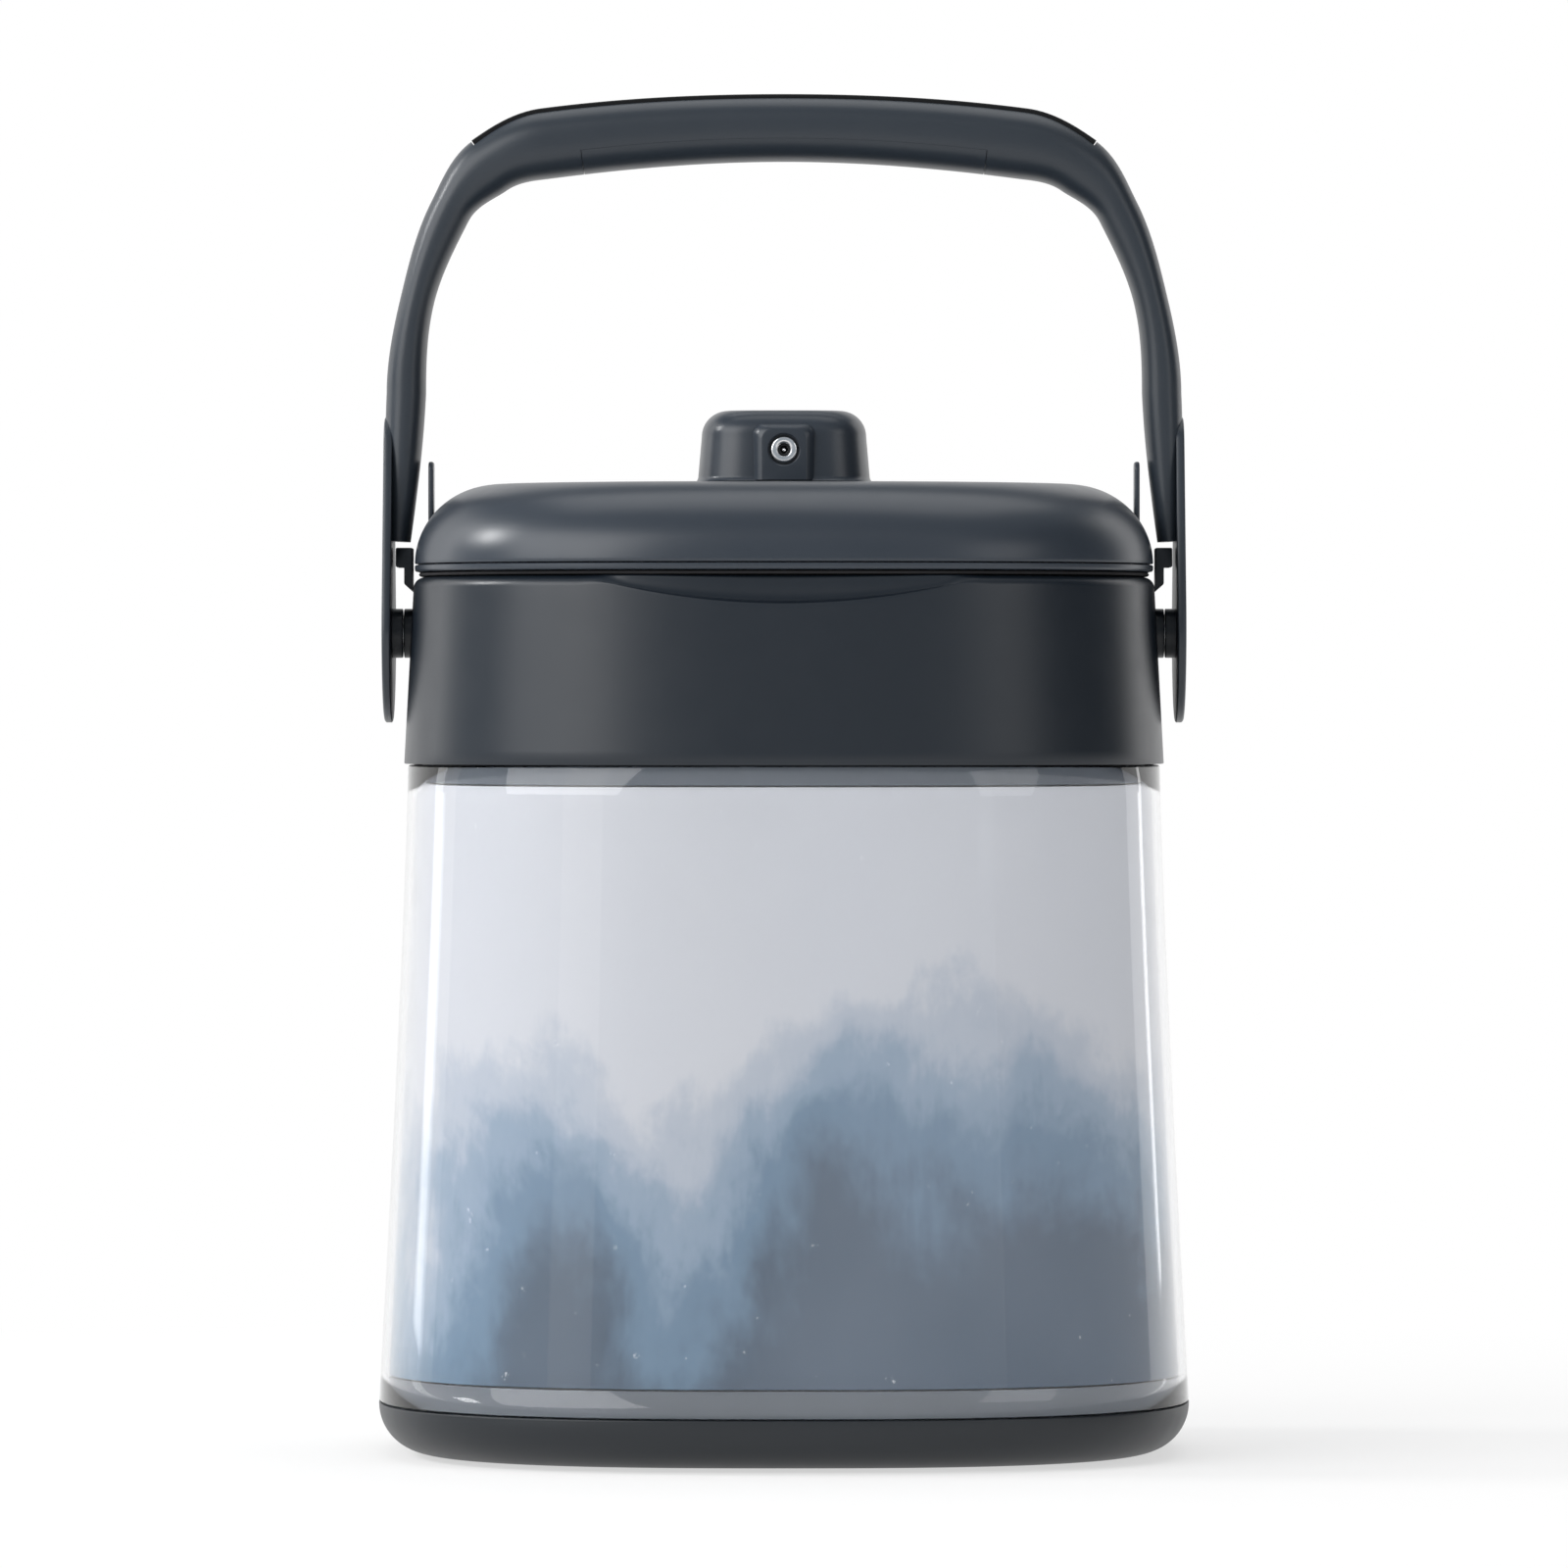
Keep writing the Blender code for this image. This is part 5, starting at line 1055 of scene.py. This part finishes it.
def stripSection(extra, rounded):
    def section(way):
        thick, deep = handleSizes(way)
        top = thick / 2
        half = handle["stripDeep"] * mm + extra
        lowSide = top - handle["stripThick"] * mm - extra
        highSide = top + (2 * mm if extra else 0.0)
        t = np.linspace(-1, 1, 25)
        edge = 0.4 * mm if rounded else 0.0
        crown = edge * (1 - (1 - np.abs(t) ** 8) ** 0.5) if rounded else 0 * t
        out = np.concatenate([np.outer(highSide, np.ones(25)) - crown, np.outer(lowSide, np.ones(2))], axis=1)
        across = np.concatenate([t * half, [half, -half]])
        return out, np.outer(np.ones(len(way)), across)
    return section


def padSection(extra):
    def section(way):
        thick, deep = handleSizes(way)
        p = handle["power"]
        reach = math.radians(handle["padReach"] + (0.3 if extra else 0))
        a = np.pi + reach * np.linspace(-1, 1, 41)
        outer = 2 * mm if extra else 0.0
        wall = handle["padWall"] * mm + extra
        outs, deeps = [], []
        for grow, order in ((outer, a), (-wall, a[::-1])):
            outs.append((thick / 2 + grow)[:, None] * power(np.cos(order), p))
            deeps.append((deep + grow)[:, None] * power(np.sin(order), p))
        return np.concatenate(outs, axis=1), np.concatenate(deeps, axis=1)
    return section


def paddleGrid(side):
    # The round plate drawn out to a neck above it: its outer face is slightly dished, its rim rounded
    h = handle
    pivotZ = frame["pivotZ"]
    big, small, rise = h["paddle"] * mm, h["neck"] * mm, h["neckRise"] * mm
    tangent = math.asin((big - small) / rise)
    a1 = np.linspace(math.pi - tangent, 2 * math.pi + tangent, 72)
    a2 = np.linspace(tangent, math.pi - tangent, 40)
    outline = np.concatenate([np.column_stack([big * np.cos(a1), big * np.sin(a1)]),
                              np.column_stack([small * np.cos(a2), rise + small * np.sin(a2)])])
    middle = np.array([0, rise / 3])
    edge, t = 0.8 * mm, h["plate"] * mm
    rows = []
    for x, shrink in (
        (0, 0.5 * edge), (0.1 * mm, 0.2 * edge), (0.35 * mm, 0), (t - edge, 0), (t - 0.6 * edge, 0.08 * edge),
        (t - 0.3 * edge, 0.28 * edge), (t - 0.1 * edge, 0.55 * edge), (t, edge), (t - 0.05 * mm, 2.2 * mm),
        (t - 0.3 * mm, 5 * mm),
    ):
        ring = middle + (outline - middle) * (1 - shrink / big)
        rows.append(np.column_stack([np.full(len(ring), side * (paddleInner + x)), ring[:, 0], pivotZ + ring[:, 1]]))
    return gridMesh(np.array(rows), caps=True)


def softPiece(name, path, halfLength, count, section):
    # A length of strip or pad, or the room for it, carried along the bar
    clipped = clipPath(path, halfLength, count)
    return makePiece(name, gridMesh(sweep(clipped, section), caps=True))


def makeHandle():
    h = handle
    path, place = handlePath(34), (0, 0, frame["pivotZ"])
    piece = makePiece("handle", gridMesh(sweep(path, fullSection(72)), caps=True))
    hub, recess, bush = h["hubRadius"] * mm, h["recessRadius"] * mm, h["bushRadius"] * mm
    adds, cuts = [], []
    for side, axis in ((1, "X"), (-1, "-X")):
        adds.append(makePiece("plate", paddleGrid(side)))
        adds.append(makePiece("hub", rod(hub, bossFace + gap, paddleInner + 0.8 * mm, place, axis, 0.3 * mm)))
        cuts.append(makePiece("recess", rod(recess, paddleInner, paddleOuter + 2 * mm, place, axis)))
        cuts.append(makePiece("bushHole", rod(bush, bossFace - 2 * mm, paddleInner + 2 * mm, place, axis)))
    combined(piece, "UNION", adds)
    bed, end = h["bedGap"] * mm, h["endGap"] * mm
    strip, pad = h["stripHalf"] * mm, h["padHalf"] * mm
    cuts.append(softPiece("bed", path, strip + end, 121, stripSection(bed, False)))
    cuts.append(softPiece("pocket", path, pad + end, 81, padSection(bed)))
    combined(piece, "DIFFERENCE", cuts, 32)
    dress(piece, "handleGrey", "handle", ["handle_frame"])
    piece = softPiece("grip_strip_top", path, strip - end, 121, stripSection(0, True))
    dress(piece, "stripBlack", "handle", ["grip_strip"])
    piece = softPiece("grip_pad_under", path, pad - end, 81, padSection(0))
    dress(piece, "handleGrey", "handle", ["grip_pad"])


cap = [(0, 0), (4.2, 0), (5.4, 0.12), (5.9, 0.4), (6.1, 0.7)]  # radius and drop of the face, in millimetres


def makeCaps():
    for name, axis in (("right", "X"), ("left", "-X")):
        node = "pivot_cap_" + name
        inner, outer = sorted((abs(low(node)[0]), abs(high(node)[0])))
        rows = [(radius * mm, outer - drop * mm) for radius, drop in cap] + [(cap[-1][0] * mm, inner), (0, inner)]
        piece = makePiece("cap_" + name, gridMesh(turned(rows, (0, 0, frame["pivotZ"]), axis)), 30)
        dress(piece, "handleGrey", "handle", [node])


print("materials ready")
makeBase()
print("base made")
makeWalls()
makeTub()
print("reservoir made")
makeCollar()
print("collar made")
makeLid()
makeTray()
makeGasket()
print("lid made")
makeHood()
makeSocket()
makePort()
print("hood and socket made")
makeHandle()
makeCaps()
print("handle made")

kept = {
    "footRubber": feet + ["motor_lead"],
    "foam": ["base_insulation", "lid_insulation"],
    "steel": ["lid_screw_1", "lid_screw_2", "lid_screw_3", "lid_screw_4", "pivot_screw_left", "pivot_screw_right",
              "drive_shaft"],
    "nickel": ["jack_nut"],
    "board": ["control_board"],
    "motorCan": ["pump_motor"],
    "white": ["pump_column", "impeller", "pivot_bush_left", "pivot_bush_right"],
    "blackPlastic": ["pump_housing", "intake_strainer"],
    "silicone": ["supply_pipe", "return_pipe"],
}
for finish, nodes in kept.items():
    for node in nodes:
        for slot in frame["nodes"][node].material_slots:
            slot.material = finishes[finish]
print("kept nodes dressed")

studio = {
    "key": {"place": (-1.9, -1.7, 1.3), "size": (2.4, 2.0), "power": 50, "aim": (0, 0, 0.2)},
    "spark": {"place": (-2.2, 0.17, 1.46), "size": (0.5, 0.5), "power": 24, "aim": (0, 0, 0.25)},
    "top": {"place": (0.1, 0.4, 2.2), "size": (2.0, 1.6), "power": 16, "aim": (0, 0, 0.2)},
    "fill": {"place": (2.2, -2.0, 1.0), "size": (1.4, 1.4), "power": 10, "aim": (0, 0, 0.2)},
    "stripLeft": {"place": (-1.72, 1.02, 0.75), "size": (0.30, 1.5), "power": 2.2, "aim": (0, 0, 0.3)},
    "stripRight": {"place": (1.46, 1.37, 0.75), "size": (0.10, 1.5), "power": 0.9, "aim": (0, 0, 0.3)},
    "ambient": 0.45,
}
cards = {
    "cardFront": {"place": (0.4, -3.6, 1.2), "size": (5.0, 3.6), "turn": 0, "glow": 0.42},
    "cardRight": {"place": (2.6, -0.9, 1.2), "size": (4.6, 3.6), "turn": 90, "glow": 0.03},
    "cardLeft": {"place": (-3.2, -1.2, 1.2), "size": (4.2, 3.6), "turn": 90, "glow": 0.55},
    "cardTop": {"place": (0, 0.3, 2.7), "size": (5.2, 6.0), "turn": 0, "glow": 0.34, "flat": True},
}
cardTint = (0.82, 0.91, 1.0)
squareCorners = ((-1, -1), (1, -1), (1, 1), (-1, 1))


def makeCard(name, settings):
    # A card that only reflections see: it stands for the dark or grey side of the studio
    w, h = settings["size"][0] / 2, settings["size"][1] / 2
    a = math.radians(settings["turn"])
    c, s = math.cos(a), math.sin(a)
    px, py, pz = settings["place"]
    mesh = bpy.data.meshes.new(name)
    ahead, up = (h, 0) if settings.get("flat") else (0, h)
    points = [(px + u * w * c, py + u * w * s + v * ahead, pz + v * up) for u, v in squareCorners]
    mesh.from_pydata(points, [], [(0, 1, 2, 3)])
    card = addObject(name, mesh)
    made, tree, shader = newMaterial(name)
    glow = tree.nodes.new("ShaderNodeEmission")
    glow.inputs["Strength"].default_value = settings["glow"]
    glow.inputs["Color"].default_value = (*cardTint, 1)
    tree.links.new(glow.outputs["Emission"], tree.nodes["Material Output"].inputs["Surface"])
    mesh.materials.append(made)
    card.visible_camera = False
    card.visible_diffuse = False
    card.visible_transmission = False
    card.visible_shadow = False


def makeLight(name, settings):
    data = bpy.data.lights.new(name, "AREA")
    data.shape = "RECTANGLE"
    data.size, data.size_y = settings["size"]
    data.energy = settings["power"]
    lamp = addObject(name, data)
    lamp.location = settings["place"]
    aim = Vector(settings["aim"]) - Vector(settings["place"])
    lamp.rotation_euler = aim.to_track_quat("-Z", "Y").to_euler()


def makeWorld():
    world = bpy.data.worlds.new("studio")
    bpy.context.scene.world = world
    world.use_nodes = True
    tree = world.node_tree
    back = tree.nodes["Background"]
    back.inputs["Color"].default_value = (1, 1, 1, 1)
    rays = tree.nodes.new("ShaderNodeLightPath").outputs
    seen = maths(tree, "MAXIMUM", rays["Is Camera Ray"], rays["Is Glossy Ray"])
    seen = maths(tree, "MAXIMUM", seen, rays["Is Transmission Ray"])
    tree.links.new(remap(tree, seen, studio["ambient"], 1.0, 0, 1), back.inputs["Strength"])


ground = {"half": 6.0, "colour": (0.92, 0.92, 0.92), "roughness": 0.9, "fade": 1.6, "whiteNear": 0.6, "whiteEnd": 0.7}


def makeFloor():
    # Plain white to the camera further off, and nearer the object a floor that takes its shadow
    mesh = bpy.data.meshes.new("floor")
    half, fade = ground["half"], ground["fade"]
    mesh.from_pydata([(u * half, v * half, 0) for u, v in squareCorners], [], [(0, 1, 2, 3)])
    floor = addObject("floor", mesh)
    made, tree, shader = newMaterial("floor white")
    shader.inputs["Base Color"].default_value = (*ground["colour"], 1)
    shader.inputs["Roughness"].default_value = ground["roughness"]
    shader.inputs["Specular IOR Level"].default_value = 0.1
    glow = tree.nodes.new("ShaderNodeEmission")
    mixed = tree.nodes.new("ShaderNodeMixShader")
    rays = tree.nodes.new("ShaderNodeLightPath").outputs
    seen = maths(tree, "MAXIMUM", rays["Is Camera Ray"], rays["Is Glossy Ray"])
    gradient = tree.nodes.new("ShaderNodeTexGradient")
    gradient.gradient_type = "SPHERICAL"
    tree.links.new(objectCoords(tree, (fade, fade, fade)), gradient.inputs["Vector"])
    away = remap(tree, gradient.outputs["Fac"], 1.0, ground["whiteNear"], 0.0, ground["whiteEnd"])
    tree.links.new(maths(tree, "MULTIPLY", seen, away), mixed.inputs["Fac"])
    tree.links.new(shader.outputs["BSDF"], mixed.inputs[1])
    tree.links.new(glow.outputs["Emission"], mixed.inputs[2])
    tree.links.new(mixed.outputs["Shader"], tree.nodes["Material Output"].inputs["Surface"])
    mesh.materials.append(made)


view = {"lens": 249.9, "sensor": 36, "shift": -0.0625, "place": (0, -3.1, 0.2176)}


def makeCamera():
    data = bpy.data.cameras.new("camera")
    data.lens = view["lens"]
    data.sensor_width = view["sensor"]
    data.shift_y = view["shift"]
    camera = addObject("camera", data)
    camera.location = view["place"]
    camera.rotation_euler = (math.pi / 2, 0, 0)
    bpy.context.scene.camera = camera


for name in ("key", "spark", "top", "fill", "stripLeft", "stripRight"):
    makeLight(name, studio[name])
for name, settings in cards.items():
    makeCard(name, settings)
makeWorld()
makeFloor()
makeCamera()
bpy.context.scene.view_settings.view_transform = "Standard"
print("studio ready")
